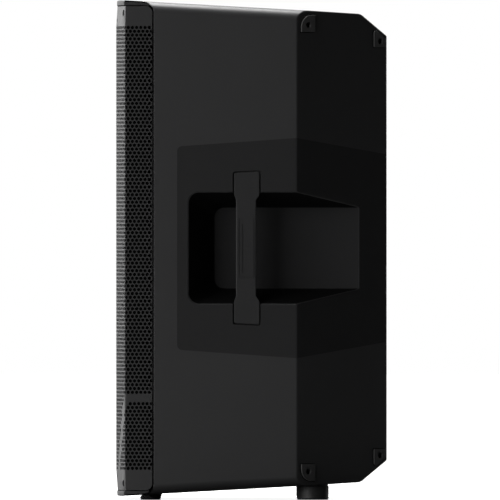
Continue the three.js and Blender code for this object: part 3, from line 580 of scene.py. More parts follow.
def gloss_window(name, colour):
    """A hard-coated display window, with faint wiping marks."""
    n = Nodes(name)
    wipe = n.noise(9 * MM, 4, 0.6, n.scaled((1, 1, 0.3)))
    n.colour(n.mix(n.noise(30 * MM), tint(colour, 0.8), tint(colour, 1.3)))
    n.rough(n.span(wipe, 0.05, 0.12))
    n.bump((wipe, 0.002 * MM))
    n.set(Coat_Weight=0.6, Coat_Roughness=0.04)
    return n.material


def printed(name, colour):
    """Silk-screened ink."""
    n = Nodes(name)
    ink = n.noise(0.7 * MM, 3)
    n.colour(n.mix(ink, tint(colour, 0.8), colour))
    n.rough(n.span(ink, 0.5, 0.7))
    n.bump((ink, 0.01 * MM))
    return n.material


def base_colour(slot):
    m = next(m for m in frame["record"]["materials"] if m["slot"] == slot)
    return tuple(m["base_color"][:3])


def make_materials():
    c = base_colour
    case = c("cabinet_plastic")
    return {
        "cabinet": moulded_plastic("cabinet_plastic", case, 0.5),
        # Pocket floor: the cabinet plastic darkened to 0.8 and made less glossy, as painted shade in the
        # recess.
        "cup": moulded_plastic("pocket_floor_painted_shade", tint(case, 0.8), 0.6, 1.3 * MM, 0.09 * MM, 0.2),
        # Pocket walls: the cabinet plastic darkened to 0.3, near black, as painted shade in the recess.
        "painted_wall_shade": moulded_plastic("shaded_pocket_wall", tint(case, 0.3), 0.7, 1 * MM, 0.03 * MM, 0.05),
        # Near-black finish for painted shade: turned-away rake edges, the lip's top and bottom edges and the
        # sheets round the bumpers.
        "trim": moulded_plastic("painted_dark_edges", (0.002, 0.002, 0.002), 0.9, 0.6 * MM, 0.02 * MM, 0),
        "panel_grain": moulded_plastic("panel_plastic", tint(case, 0.7), 0.62, 1.1 * MM, 0.06 * MM, 0.25),
        "handle": rubber("handle_rubber", c("handle_rubber"), 0.55),
        "dark": moulded_plastic("dark_plastic", c("dark_plastic"), 0.5, 0.5 * MM, 0.02 * MM),
        "knob": moulded_plastic("knob_plastic", c("knob_plastic"), 0.42, 0.4 * MM, 0.015 * MM),
        "foam": foam("foam", tint(c("foam"), 0.3)),
        "grille": powder_coat("grille_steel", c("grille_steel")),
        "rubber": rubber("foot_rubber", tint(c("foot_rubber"), 0.6)),
        "bumper": rubber("bumper_rubber", tint(c("foot_rubber"), 6), 0.7),
        # Foot stem: the foot rubber lightened 2.6 times, a painted highlight on its side.
        "foot": rubber("foot_painted_highlight", tint(c("foot_rubber"), 2.6), 0.5),
        # Near-black screws for the bumper holes: painted shade in the holes.
        "sunk": rubber("screw_painted_shade", (0.004, 0.004, 0.004), 0.6),
        "paper": pressed_paper("cone_paper", c("cone_paper")),
        "coil": winding("coil_metal", c("coil_metal")),
        "spider": woven_cloth("spider_cloth", c("spider_cloth")),
        "steel": metal("bright_steel", c("bright_steel"), 0.3),
        "screw": metal("black_screw", (0.045, 0.045, 0.048), 0.38),
        "insert": metal("insert_metal", c("insert_metal"), 0.36),
        "ferrite": ferrite("ferrite", c("ferrite")),
        "panel": anodised("panel_aluminium", c("panel_aluminium")),
        "board": circuit_board("circuit_board", c("circuit_board")),
        "window": gloss_window("display_gloss", c("display_gloss")),
        "wire": rubber("wire_insulation", c("wire_insulation"), 0.45),
        "print": printed("panel_print", (0.55, 0.56, 0.56)),
    }


# ------------------------------------------------------------------ camera, light and floor

VIEW_HEIGHT = 681.5 * MM  # what the picture shows, top to bottom, at the near side
VIEW_MIDDLE = (-2.1 * MM, 341 * MM)  # the (y, z) that the camera looks at
VIEW_DISTANCE = 30.0
SENSOR = 36
# The room's brightness on each side.
ROOM = {"rest": 0.008, "behind": 1.1, "over": 0.2, "front": 0.1, "back": 0.05}
LIGHTS = {  # where each one is, its size and its power
    "key": ((3.3, -3.1, 0.9), (3.4, 3.0), 175),
    "rim": ((-2.6, -2.8, 0.9), (1.6, 2.4), 34),
    "top": ((-0.45, -0.6, 2.4), (1.2, 1.6), 190),
    "back": ((-3.3, 2.7, 1.4), (1.6, 1.6), 90),
}
LIGHT_AIM = (0, 0, 0.34)


def make_camera():
    camera = bpy.data.cameras.new("camera")
    camera.sensor_width = SENSOR
    camera.clip_end = 200
    camera.lens = SENSOR * (VIEW_DISTANCE - HALF_WIDTH) / VIEW_HEIGHT
    obj = link(bpy.data.objects.new("camera", camera))
    obj.location = (VIEW_DISTANCE, *VIEW_MIDDLE)
    obj.rotation_euler = (math.pi / 2, 0, math.pi / 2)
    bpy.context.scene.camera = obj


def soft_light(name, where, aim, size, power):
    light = bpy.data.lights.new(name, "AREA")
    light.shape = "RECTANGLE"
    light.size, light.size_y = size
    light.energy = power
    obj = link(bpy.data.objects.new(name, light))
    obj.location = where
    obj.rotation_euler = (Vector(aim) - Vector(where)).to_track_quat("-Z", "Y").to_euler()
    return obj


def make_studio():
    """A white room that is bright behind and over the cabinet and dim on the other sides."""
    scene = bpy.context.scene
    scene.view_settings.view_transform = "Standard"
    scene.view_settings.look = "None"
    world = bpy.data.worlds.new("studio")
    scene.world = world
    world.use_nodes = True
    tree = world.node_tree
    tree.nodes.clear()
    add, wire = tree.nodes.new, tree.links.new
    out, mixed = add("ShaderNodeOutputWorld"), add("ShaderNodeMixShader")
    seen, room = add("ShaderNodeBackground"), add("ShaderNodeBackground")
    path, place, split = add("ShaderNodeLightPath"), add("ShaderNodeTexCoord"), add("ShaderNodeSeparateXYZ")
    wire(place.outputs["Generated"], split.inputs[0])

    def combine(operation, a, b):
        n = add("ShaderNodeMath")
        n.operation = operation
        wire(a, n.inputs[0])
        wire(b, n.inputs[1])
        return n.outputs["Value"]

    def ramp(axis, start, end, low, high):
        n = add("ShaderNodeMapRange")
        values = (("From Min", start), ("From Max", end), ("To Min", low), ("To Max", high))
        for key, value in values:
            n.inputs[key].default_value = value
        wire(split.outputs[axis], n.inputs["Value"])
        return n.outputs["Result"]

    behind = ramp("X", -0.05, -0.75, 0.0, ROOM["behind"])
    over = ramp("Z", 0.35, 0.95, 0.0, ROOM["over"])
    bright = combine("ADD", behind, over)
    bright = combine("MULTIPLY", bright, ramp("Y", -0.15, 0.3, 1.0, ROOM["back"]))
    total = combine("ADD", bright, ramp("Y", -0.3, -0.9, ROOM["rest"], ROOM["front"]))
    wire(total, room.inputs["Strength"])
    for background in (seen, room):
        background.inputs["Color"].default_value = (1, 1, 1, 1)
    wire(path.outputs["Is Camera Ray"], mixed.inputs[0])
    wire(room.outputs[0], mixed.inputs[1])
    wire(seen.outputs[0], mixed.inputs[2])
    wire(mixed.outputs[0], out.inputs[0])
    for name, (where, size, power) in LIGHTS.items():
        soft_light(name, where, LIGHT_AIM, size, power)


def make_floor():
    floor = prism("floor", round_outline(30, 30, 4), -0.02, -0.0002)
    n = Nodes("floor_paper")
    seen = n.add("ShaderNodeLightPath").outputs["Is Camera Ray"]
    paper = n.mix(n.noise(0.4), (0.5, 0.5, 0.5), (0.54, 0.54, 0.54))
    n.colour(n.mix(seen, (0.1, 0.1, 0.1), paper))
    n.rough(n.span(n.noise(0.05), 0.7, 0.85))
    n.bump((n.noise(0.004, 2), 0.0001))
    n.set(Emission_Color=(1, 1, 1, 1))
    n.wire(n.math("MULTIPLY", seen, 0.92), n.shader.inputs["Emission Strength"])
    floor.data.materials.append(n.material)


# ------------------------------------------------------------------ cabinet

POCKET = {
    "floor": 124 * MM,
    "left": -51.4 * MM,
    "left_run": 35.1 * MM,
    "half": 56 * MM,
    "half_run": 20.5 * MM,
    "radius": 14 * MM,
}
PANEL_LOW, PANEL_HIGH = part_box("amp_panel")
PANEL_RIM = 1.5 * MM
RECESS_DEPTH = 1.3 * MM
RECESS_SLOPE = 2.6 * MM  # width of the slope round the shallow side panel


def body_form(inset, steps, edge=EDGE_RADIUS):
    """The cabinet's outer form with every face moved in by a distance, running past the front."""
    near, far = FRONT_Y - 20 * MM, BACK_Y + 60 * MM
    radius = max(edge - inset, 1.2 * MM)

    def section(y):
        outline = round_outline(HALF_WIDTH - inset, half_height(y) - inset, radius, steps)
        return [(x, y, MID_Z + z) for x, z in outline]

    form = loft("form", [section(near), section(far)])
    back = BACK_Y - inset
    raked = lambda y: half_width(y) - inset / math.cos(RAKE)
    wide = HALF_WIDTH + 0.1
    bend = RAKE_Y - (0.1 + inset / math.cos(RAKE)) / math.tan(RAKE)
    plan = [(wide, near - 0.1), (wide, bend), (raked(back), back)]
    plan += [(-x, y) for x, y in reversed(plan)]
    boolean(form, prism("plan", plan, -0.2, 1.2), "INTERSECT")
    slope = (half_height(CHAMFER_Y) - CHAMFER_HALF_HEIGHT) / (BACK_Y - CHAMFER_Y)
    drop = inset * math.hypot(1, slope)
    chamfer = lambda y: half_height(CHAMFER_Y) - slope * (y - CHAMFER_Y) - drop
    upper = [(near, chamfer(near))] + chamfer_corner(slope, drop) + [(far, chamfer(far))]
    side = [(y, MID_Z - z) for y, z in upper] + [(y, MID_Z + z) for y, z in reversed(upper)]
    boolean(form, prism("side", side, -1, 1, "x"), "INTERSECT")
    return form


def chamfer_corner(slope, drop, radius=13 * MM, steps=7):
    """The rounded corner between the sloping top and the rear chamfer, as (y, half height)."""
    start, end = math.atan(TAPER), math.atan(slope)
    reach = radius * math.tan((end - start) / 2)
    y = CHAMFER_Y - reach * math.cos(start) - radius * math.sin(start)
    z = half_height(CHAMFER_Y) - drop + reach * math.sin(start) - radius * math.cos(start)
    turns = [start + (end - start) * i / steps for i in range(steps + 1)]
    return [(y + radius * math.sin(t), z + radius * math.cos(t)) for t in turns]


def front_zone(gap=0, steps=16):
    """The space in front of the body that the bezel and the grille fill, moved in by a gap."""
    r = SPLIT_RADIUS - gap
    middle_y = SPLIT_Y - SPLIT_RADIUS
    middle_z = half_height(SPLIT_TOP_Y) - math.sqrt(SPLIT_RADIUS**2 - (SPLIT_TOP_Y - middle_y) ** 2)
    near, wide = FRONT_Y - 0.1, half_height(SPLIT_TOP_Y) + 0.05
    upper = [(near, wide), (middle_y, wide)]
    for i in range(steps + 1):
        t = math.radians(90 - 90 * i / steps)
        upper.append((middle_y + r * math.cos(t), middle_z + r * math.sin(t)))
    outline = [(y, MID_Z + z) for y, z in upper] + [(y, MID_Z - z) for y, z in reversed(upper)]
    return prism("zone", outline, -1, 1, "x")


def pocket_form(grow, steps):
    """The inside of the +X hand pocket, or its outer skin when grown."""
    far = BACK_Y + 40 * MM
    p = POCKET

    def section(x):
        run = (x - p["floor"]) / (HALF_WIDTH - p["floor"])
        left = p["left"] - p["left_run"] * run - grow
        half = p["half"] + p["half_run"] * run + grow
        outline = round_outline((far - left) / 2, half, p["radius"], steps, (far + left) / 2)
        return [(x, y, MID_Z + z) for y, z in outline]

    return loft("pocket", [section(p["floor"] - grow), section(HALF_WIDTH + 12 * MM)])


def on_rake(u, z, n):
    """A point u back along the +X raked side, z over the middle and n out of it."""
    along = Vector((-math.sin(RAKE), math.cos(RAKE), 0))
    return Vector((HALF_WIDTH, RAKE_Y, MID_Z)) + along * u + RAKE_NORMAL * n + Vector((0, 0, z))


def recess_cutters():
    """Shallow cuts with sloping edges, on the +X side and on its raked part."""
    left, half_left, half_rake, half_back = (v * MM for v in (-104, 141, 152.7, 131))
    rise = (half_rake - half_left) / (RAKE_Y - left)

    def side_ring(level):
        s = RECESS_SLOPE * level
        start, r, far = left + s, 7 * MM, RAKE_Y + 16 * MM
        half = lambda y: half_left + rise * (y - left) - s
        corner = [
            (start + r - r * math.cos(t), half(start + r) - r + r * math.sin(t))
            for t in (math.radians(15 * i) for i in range(7))
        ]
        upper = corner + [(far, half(far))]
        ring = upper + [(y, -z) for y, z in reversed(upper)]
        return [(HALF_WIDTH - RECESS_DEPTH * level, y, MID_Z + z) for y, z in ring]

    length = (BACK_Y - RAKE_Y) / math.cos(RAKE)
    fall = (half_back - half_rake) / length

    def rake_ring(level):
        s = RECESS_SLOPE * level
        ends = (-14 * MM, length + 20 * MM)
        upper = [(u, half_rake + fall * u - s) for u in ends]
        ring = upper + [(u, -z) for u, z in reversed(upper)]
        return [tuple(on_rake(u, z, -RECESS_DEPTH * level)) for u, z in ring]

    return [loft("recess", [ring(-1), ring(1)]) for ring in (side_ring, rake_ring)]


def handle_outline(grow):
    """The handle's outline in (y, z), or its seats' when grown."""
    tab, grip, shift = 17.2 * MM + grow, 13.9 * MM + grow, -0.9 * MM
    half, neck, slant, r = 103.2 * MM, 72 * MM, 0.045, 2.6 * MM
    end = lambda side: half + grow + slant * side * tab
    upper = [
        (tab, neck),
        (tab, end(1) - r),
        (tab - 0.3 * r, end(1) - 0.3 * r),
        (tab - r, end(1)),
        (-tab + r, end(-1)),
        (-tab + 0.3 * r, end(-1) - 0.3 * r),
        (-tab, end(-1) - r),
        (-tab, neck),
    ]
    lower = [(y, -z) for y, z in reversed(upper)]
    right = [(grip + shift, -neck + 6 * MM), (grip + shift, neck - 6 * MM)]
    left = [(-grip + shift, neck - 6 * MM), (-grip + shift, -neck + 6 * MM)]
    return [(HANDLE_Y + y, MID_Z + z) for y, z in right + upper + left + lower]


def both_sides(obj):
    return [obj, mirrored(obj, obj.name + "_twin")]


def rigging_frames():
    """Place and outward direction of each rigging insert's mouth."""
    found = []
    for name, axis in (("top_left", TOP_NORMAL), ("top_right", TOP_NORMAL), ("rear", Vector((0, 1, 0)))):
        middle = centre(f"rigging_insert_{name}")
        face = Vector(mount(f"rigging_{name}_face")["pos_m"])
        mouth = middle + axis * (face - middle).dot(axis)
        found.append((name, mouth, axis))
    return found


def panel_outline(grow, steps=8):
    half = (PANEL_HIGH - PANEL_LOW) / 2
    return round_outline(half.x + grow, half.z + grow, 8 * MM + grow, steps, 0, MID_Z)


POLE_Y = mount("pole_cup_face")["pos_m"][1]


def pole_outline(grow, steps=14):
    return round_outline(29 * MM + grow, 52 * MM + grow, 28 * MM + grow, steps, 0, POLE_Y)


def cabinet_edge_width(p):
    """How far each edge of the cabinet is rounded, by where it is."""
    if abs(p.x) < PANEL_HIGH.x + 4 * MM and p.y > PANEL_LOW.y - 6 * MM:
        return 0.9 * MM
    if abs(p.y - HANDLE_Y) < 21 * MM and abs(p.z - MID_Z) < 108 * MM and abs(p.x) > HALF_WIDTH - 10 * MM:
        return 0.5 * MM
    if abs(p.x) < 40 * MM and p.z < 40 * MM:
        return 0.5 * MM
    if abs(p.y - 10 * MM) < 14 * MM and p.z > MID_Z + 0.3:
        return 0.4 * MM
    if p.y < SPLIT_Y + 1 * MM:
        return 0.7 * MM
    return 1.6 * MM


def make_cabinet(finish):
    shell = body_form(0, 10)
    shell.name = "cabinet"
    shell.data.materials.append(None)
    shell.data.materials.append(None)
    cut(shell, front_zone())
    for cutter in recess_cutters():
        cut(shell, *both_sides(cutter))
    cut(shell, *both_sides(pocket_form(0, 8)))
    seat = prism("seat", handle_outline(1.7 * MM), HANDLE_HIGH.x - 8.3 * MM, HALF_WIDTH + 5 * MM, "x")
    cut(shell, *both_sides(seat))
    cut(shell, prism("bay", panel_outline(PANEL_RIM), PANEL_LOW.y - 1.8 * MM, BACK_Y + 0.02, "y"))
    cut(shell, prism("cup", pole_outline(0.5 * MM), -0.01, 0.022))
    for at, normal in bumper_holes(0):
        cut(shell, cylinder("bore", 3.9 * MM, -3.7 * MM, 3 * MM, at, normal, 28))
    for _, mouth, axis in rigging_frames():
        cut(shell, cylinder("bore", 11.3 * MM, -3 * MM, 6 * MM, mouth, axis, 48))
    hollow = body_form(WALL, 3)
    ends = block("ends", -1, 1, SPLIT_Y - 0.2, BACK_Y - WALL - 5 * MM, -1, 2)
    boolean(hollow, ends, "INTERSECT")
    cut(hollow, *both_sides(pocket_form(4 * MM, 3)))
    half = (PANEL_HIGH - PANEL_LOW) / 2
    grow = PANEL_RIM + 4 * MM
    cut(hollow, block("bay", -half.x - grow, half.x + grow, PANEL_LOW.y - 6 * MM, BACK_Y,
                      MID_Z - half.z - grow, MID_Z + half.z + grow))
    seats = block("seats", HALF_WIDTH - 14 * MM, HALF_WIDTH, HANDLE_Y - 24 * MM, HANDLE_Y + 24 * MM,
                  MID_Z - 111 * MM, MID_Z + 111 * MM)
    cut(hollow, *both_sides(seats))
    through = block("through", -half.x + 9 * MM, half.x - 9 * MM, 0.1, BACK_Y,
                    MID_Z - half.z + 9 * MM, MID_Z + half.z - 9 * MM)
    for inner in (hollow, through):
        mark_inside(inner)
        cut(shell, inner)
    bevel(shell, cabinet_edge_width)
    smooth(shell)
    dress(shell, "cabinet", "cabinet_plastic", finish["cabinet"], "cabinet_shell")
    # The recess finish, then the pocket floor, pocket walls and edge finishes, the last three darkened as
    # painted shade.
    for key in ("panel_grain", "cup", "painted_wall_shade", "trim"):
        shell.data.materials.append(finish[key])
    for polygon in shell.data.polygons:
        polygon.material_index = cabinet_part(polygon.center, polygon.normal)


def cabinet_part(p, normal):
    """Which finish a face has.

    0 is outside, 1 in the recesses, 2 on a pocket's floor, 3 on its walls and 4 on the rounded
    edges of the raked sides that turn away from the light. 2 is darkened and 3 near black as painted
    shade in the pocket, and 4 is near black as painted shade along those edges."""
    x, z = abs(p.x), abs(p.z - MID_Z)
    depth = min(HALF_WIDTH - x, (HALF_WIDTH - x) * RAKE_NORMAL.x + (RAKE_Y - p.y) * RAKE_NORMAL.y)
    if abs(depth - RECESS_DEPTH) < 0.15 * MM and abs(normal.z) < 0.3:
        return 1
    run = (x - POCKET["floor"]) / (HALF_WIDTH - POCKET["floor"])
    in_cup = z < POCKET["half"] + POCKET["half_run"] * run + 1 * MM
    in_cup &= p.y > POCKET["left"] - POCKET["left_run"] * run - 1 * MM and x > POCKET["floor"] - 1 * MM
    # The pocket's floor and walls get darkened finishes: painted shade.
    if in_cup and depth > 2.5 * MM and p.y < BACK_Y - 1 * MM:
        return 2 if abs(normal.x) > 0.9 else 3
    facing = abs(normal.x) * RAKE_NORMAL.x + normal.y * RAKE_NORMAL.y
    at_end = z > 250 * MM or p.y > BACK_Y - 3 * MM
    turned_away = abs(normal.x) > 0.05 and facing < 0.68 and normal.z > -0.2
    # Turned-away rounded edges of the raked sides get the near-black finish: painted shade.
    if p.y > RAKE_Y + 1 * MM and at_end and turned_away:
        return 4
    return 0


# ------------------------------------------------------------------ front

FRONT_FLAT = 131 * MM  # half the width of the flat middle of the front
FRONT_EDGE_Y = FRONT_Y + 12.4 * MM  # where the curved front would meet the flat side
BEZEL_HALF_HEIGHT = (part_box("front_baffle")[1].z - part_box("front_baffle")[0].z) / 2
LIP = 7.2 * MM
SHEET = 1.5 * MM
GRILLE_HALF_HEIGHT = BEZEL_HALF_HEIGHT - LIP - 1.2 * MM
STRIP_Y = SPLIT_Y - 1.7 * MM  # front edge of the bezel's side strip
FLANGE_END_Y = STRIP_Y - 0.15 * MM


class FrontPath:
    """A front's outer face from above, measured along itself from the middle to the side."""

    def __init__(self, half_width, corner, front_y=FRONT_Y, edge_y=FRONT_EDGE_Y):
        self.corner, self.front_y = corner, front_y
        curve = 2 * math.atan((edge_y - front_y) / (HALF_WIDTH - FRONT_FLAT))
        self.radius = (HALF_WIDTH - FRONT_FLAT) / math.sin(curve)
        self.turn = math.asin((half_width - FRONT_FLAT - corner) / (self.radius - corner))
        self.bend_start = FRONT_FLAT + self.radius * self.turn
        self.bend_end = self.bend_start + corner * (math.pi / 2 - self.turn)
        self.flange_y = self.at(np.array([self.bend_end]))[1][0]

    def at(self, s):
        """x, y and the outward direction at distances s along the path."""
        t = np.clip(s - FRONT_FLAT, 0, self.radius * self.turn) / self.radius
        bend = self.corner * (math.pi / 2 - self.turn)
        a = t + np.clip(s - self.bend_start, 0, bend) / self.corner
        x = np.clip(s, 0, FRONT_FLAT) + self.radius * np.sin(t)
        x += self.corner * (np.sin(a) - np.sin(t))
        y = self.front_y + self.radius * (1 - np.cos(t)) + self.corner * (np.cos(t) - np.cos(a))
        y += np.maximum(s - self.bend_end, 0)
        return x, y, np.sin(a), -np.cos(a)

    def stations(self, end_y):
        arc = np.linspace(FRONT_FLAT, self.bend_start, 26)
        bend = np.linspace(self.bend_start, self.bend_end, 9)[1:]
        end = self.bend_end + end_y - self.flange_y
        return np.concatenate([[0], arc, bend, np.arange(self.bend_end + 8 * MM, end, 8 * MM), [end]])

    def outline(self, end_y, depth=0):
        """Both sides' points, moved in by a depth."""
        x, y, nx, ny = self.at(self.stations(end_y))
        right = [(px - depth * a, py - depth * b) for px, py, a, b in zip(x, y, nx, ny)]
        return [(-px, py) for px, py in right[:0:-1]] + right


GRILLE_PATH = FrontPath(HALF_WIDTH, 1 * MM)
LIP_PATH = FrontPath(HALF_WIDTH - 1.4 * MM, 1.2 * MM, FRONT_Y + 1.1 * MM, FRONT_Y + 11.4 * MM)

HOLE_PITCH = 5.734 * MM
ROW_PITCH = 5.18 * MM
HOLE_HALF_WIDTH = 2.15 * MM
HOLE_TIP = 2.5 * MM  # half the height of a hole at its points
HOLE_SHOULDER = 1.25 * MM  # and at its sides
TOP_ROW_Z = 644.3 * MM
ROWS = 117
PLAIN_ROWS = (97, 98)  # left out on the flange, where a plain band runs round
HOLES_END_Y = -135.9 * MM
HOLES_END = GRILLE_PATH.bend_end + (HOLES_END_Y - GRILLE_PATH.flange_y)


def clipped(points, low, high):
    """A convex polygon of (s, z) between two values of s."""
    for sign, limit in ((1, low), (-1, high)):
        kept = []
        for (s0, z0), (s1, z1) in zip(points, points[1:] + points[:1]):
            d0, d1 = sign * (s0 - limit), sign * (s1 - limit)
            if d0 >= 0:
                kept.append((s0, z0))
            if d0 * d1 < 0:
                t = d0 / (d0 - d1)
                kept.append((s0 + t * (s1 - s0), z0 + t * (z1 - z0)))
        points = kept
    return points


def in_crease(s, z):
    """Whether a hole would lie on the plain stripe that runs down and in from the bend."""
    (s0, z0), (s1, z1) = (GRILLE_PATH.bend_start, 139 * MM), (165.3 * MM, 42 * MM)
    if z > z0 + 2 * MM or s > GRILLE_PATH.bend_end + 2 * MM:
        return False
    length = math.hypot(s1 - s0, z1 - z0)
    return abs((s - s0) * (z1 - z0) - (z - z0) * (s1 - s0)) / length < 5 * MM


def hole_centre(row, column):
    return (column + (0.5 if row % 2 == 0 else 0)) * HOLE_PITCH, TOP_ROW_Z - ROW_PITCH * row


def has_hole(row, column):
    s, z = hole_centre(row, column)
    if not 0 <= row < ROWS or s > HOLES_END + 1 * MM:
        return False
    on_flange = s > GRILLE_PATH.bend_start - 2 * MM
    return not (on_flange and row in PLAIN_ROWS) and not in_crease(s, z)


def slot_outline(s, z, half_width=2.6 * MM, half_height=4.5 * MM, steps=8):
    straight = half_height - half_width
    points = []
    for sign, start in ((1, 0), (-1, 180)):
        for i in range(steps + 1):
            t = math.radians(start + 180 * i / steps)
            points.append((s + half_width * math.cos(t), z + sign * straight + half_width * math.sin(t)))
    return points


def slot_place(x, depth, side):
    """Where on the flat sheet a slot lies, by its x and how far it is from the sheet's end."""
    radius = GRILLE_PATH.radius
    s = FRONT_FLAT + radius * math.asin((x - FRONT_FLAT) / radius)
    return s, MID_Z + side * (GRILLE_HALF_HEIGHT - depth)


SLOTS = [slot_place(185 * MM, 9.1 * MM, side) for side in (1, -1)]
SMALL_SLOTS = [slot_place(152 * MM, 19.2 * MM, side) for side in (1, -1)]


def inside(point, polygon):
    s, z = point
    hit = False
    for (s0, z0), (s1, z1) in zip(polygon, polygon[1:] + polygon[:1]):
        if (z0 > z) != (z1 > z) and s < s0 + (z - z0) * (s1 - s0) / (z1 - z0):
            hit = not hit
    return hit


def punched_outline():
    """The right half of the sheet, flat: its points and its triangles."""
    end = GRILLE_PATH.bend_end + FLANGE_END_Y - GRILLE_PATH.flange_y
    half, r = GRILLE_HALF_HEIGHT, 9 * MM
    border = [(0, MID_Z - half)]
    for sign, start in ((-1, -90), (1, 0)):
        for i in range(9):
            t = math.radians(start + 90 * i / 8)
            border.append((end - r + r * math.cos(t), MID_Z + sign * (half - r) + r * math.sin(t)))
    border.append((0, MID_Z + half))
    slots = [slot_outline(*place) for place in SLOTS]
    slots += [slot_outline(*place, 2.2 * MM, 3 * MM) for place in SMALL_SLOTS]
    loops = [border, *slots]
    exists = np.zeros((ROWS + 2, 60), bool)
    for row in range(ROWS):
        for column in range(42):
            if not has_hole(row, column):
                continue
            s, z = hole_centre(row, column)
            w, tip, shoulder = HOLE_HALF_WIDTH, HOLE_TIP, HOLE_SHOULDER
            hexagon = [(0, tip), (-w, shoulder), (-w, -shoulder), (0, -tip), (w, -shoulder), (w, shoulder)]
            loops.append(clipped([(s + a, z + b) for a, b in hexagon], 0, HOLES_END))
            exists[row, column] = True
    points, edges = [], []
    for loop in loops:
        base = len(points)
        points += loop
        edges += [(base + i, base + (i + 1) % len(loop)) for i in range(len(loop))]
    bends = list(np.linspace(GRILLE_PATH.bend_start, GRILLE_PATH.bend_end, 5))
    bends += list(np.arange(FRONT_FLAT, GRILLE_PATH.bend_start - 2 * MM, 2 * HOLE_PITCH))
    for s in bends:
        edges.append((len(points), len(points) + 1))
        points += [(s, MID_Z - half), (s, MID_Z + half)]
    scale = 1000  # the triangulation works in millimetres
    verts, _, tris, *_ = mathutils.geometry.delaunay_2d_cdt(
        [Vector((s * scale, z * scale)) for s, z in points], edges, [], 0, 1e-4
    )
    flat = np.array([(v.x, v.y) for v in verts]) / scale
    tris = np.array(tris)
    middle = flat[tris].mean(axis=1)
    keep = ~in_holes(middle, exists)
    corner_s, corner_z = middle[:, 0] - (end - r), np.abs(middle[:, 1] - MID_Z) - (half - r)
    keep &= ~((corner_s > 0) & (corner_z > 0) & (np.hypot(corner_s, corner_z) > r))
    for slot in slots:
        near = np.abs(middle - np.mean(slot, axis=0)).max(axis=1) < 6 * MM
        for i in np.nonzero(near)[0]:
            keep[i] &= not inside(middle[i], slot)
    return flat, tris[keep]


def in_holes(points, exists):
    """Which of the points lie in a hole of the lattice."""
    hit = np.zeros(len(points), bool)
    near = np.floor((TOP_ROW_Z - points[:, 1]) / ROW_PITCH).astype(int)
    slope = (HOLE_TIP - HOLE_SHOULDER) / HOLE_HALF_WIDTH
    for row in (near, near + 1):
        shift = np.where(row % 2 == 0, 0.5, 0)
        column = np.round(points[:, 0] / HOLE_PITCH - shift).astype(int)
        ds = np.abs(points[:, 0] - (column + shift) * HOLE_PITCH)
        dz = np.abs(points[:, 1] - (TOP_ROW_Z - ROW_PITCH * row))
        real = (row >= 0) & (row < ROWS) & (column >= 0)
        real &= exists[np.clip(row, 0, ROWS), np.clip(column, 0, 59)]
        hit |= real & (ds < HOLE_HALF_WIDTH) & (dz < HOLE_TIP - slope * ds)
    return hit


def make_grille(finish):
    flat, tris = punched_outline()
    s, z = flat[:, 0], flat[:, 1]
    x, y, nx, ny = GRILLE_PATH.at(s)
    end = np.clip((np.abs(z - MID_Z) - (GRILLE_HALF_HEIGHT - 16 * MM)) / (16 * MM), 0, 1)
    y = y + 1.7 * MM * end**2 * -ny
    outer = np.stack([x, y, z], axis=1)
    inner = np.stack([x - SHEET * nx, y - SHEET * ny, z], axis=1)
    count = len(flat)
    edges = {}
    for a, b, c in tris.tolist():
        for e in ((a, b), (b, c), (c, a)):
            edges[e] = True
    rim = [e for e in edges if (e[1], e[0]) not in edges]
    faces = tris.tolist() + [(a + count, c + count, b + count) for a, b, c in tris.tolist()]
    faces += [(b, a, a + count, b + count) for a, b in rim]
    grille = mesh_object("grille_right", np.concatenate([outer, inner]).tolist(), faces)
    grille.data.shade_smooth()
    grille.data.set_sharp_from_angle(angle=math.radians(35))
    left = mirrored(grille, "grille_left")
    for obj in (grille, left):
        dress(obj, "cabinet", "grille_steel", finish["grille"], "front_grille")
    for sign in (1, -1):
        for place_s, place_z in SLOTS:
            px, py, pnx, pny = (float(v[0]) for v in GRILLE_PATH.at(np.array([place_s])))
            at = Vector((sign * (px - 4.6 * MM * pnx), py - 4.6 * MM * pny, place_z))
            screw = screw_head(at, Vector((sign * pnx, pny, 0)), 3.2 * MM, 1.4 * MM)
            dress(screw, "cabinet", "bright_steel", finish["screw"])


def make_foam(finish):
    rows = []
    for depth in (SHEET + GAP, None):
        x, y, nx, ny = GRILLE_PATH.at(GRILLE_PATH.stations(-140 * MM))
        if depth is None:
            far = np.clip((x - 165 * MM) / (20 * MM), 0, 1)
            depth = SHEET + GAP + 3 * MM - 2.6 * MM * far
        rows.append(list(zip(x - depth * nx, y - depth * ny)))
    outline = [(-x, y) for x, y in reversed(rows[0][1:])] + rows[0]
    outline += rows[1][::-1] + [(-x, y) for x, y in rows[1][1:]]
    half = GRILLE_HALF_HEIGHT - 17 * MM
    foam_sheet = prism("grille_liner", outline, MID_Z - half, MID_Z + half)
    smooth(foam_sheet)
    dress(foam_sheet, "cabinet", "foam", finish["foam"], "grille_foam")


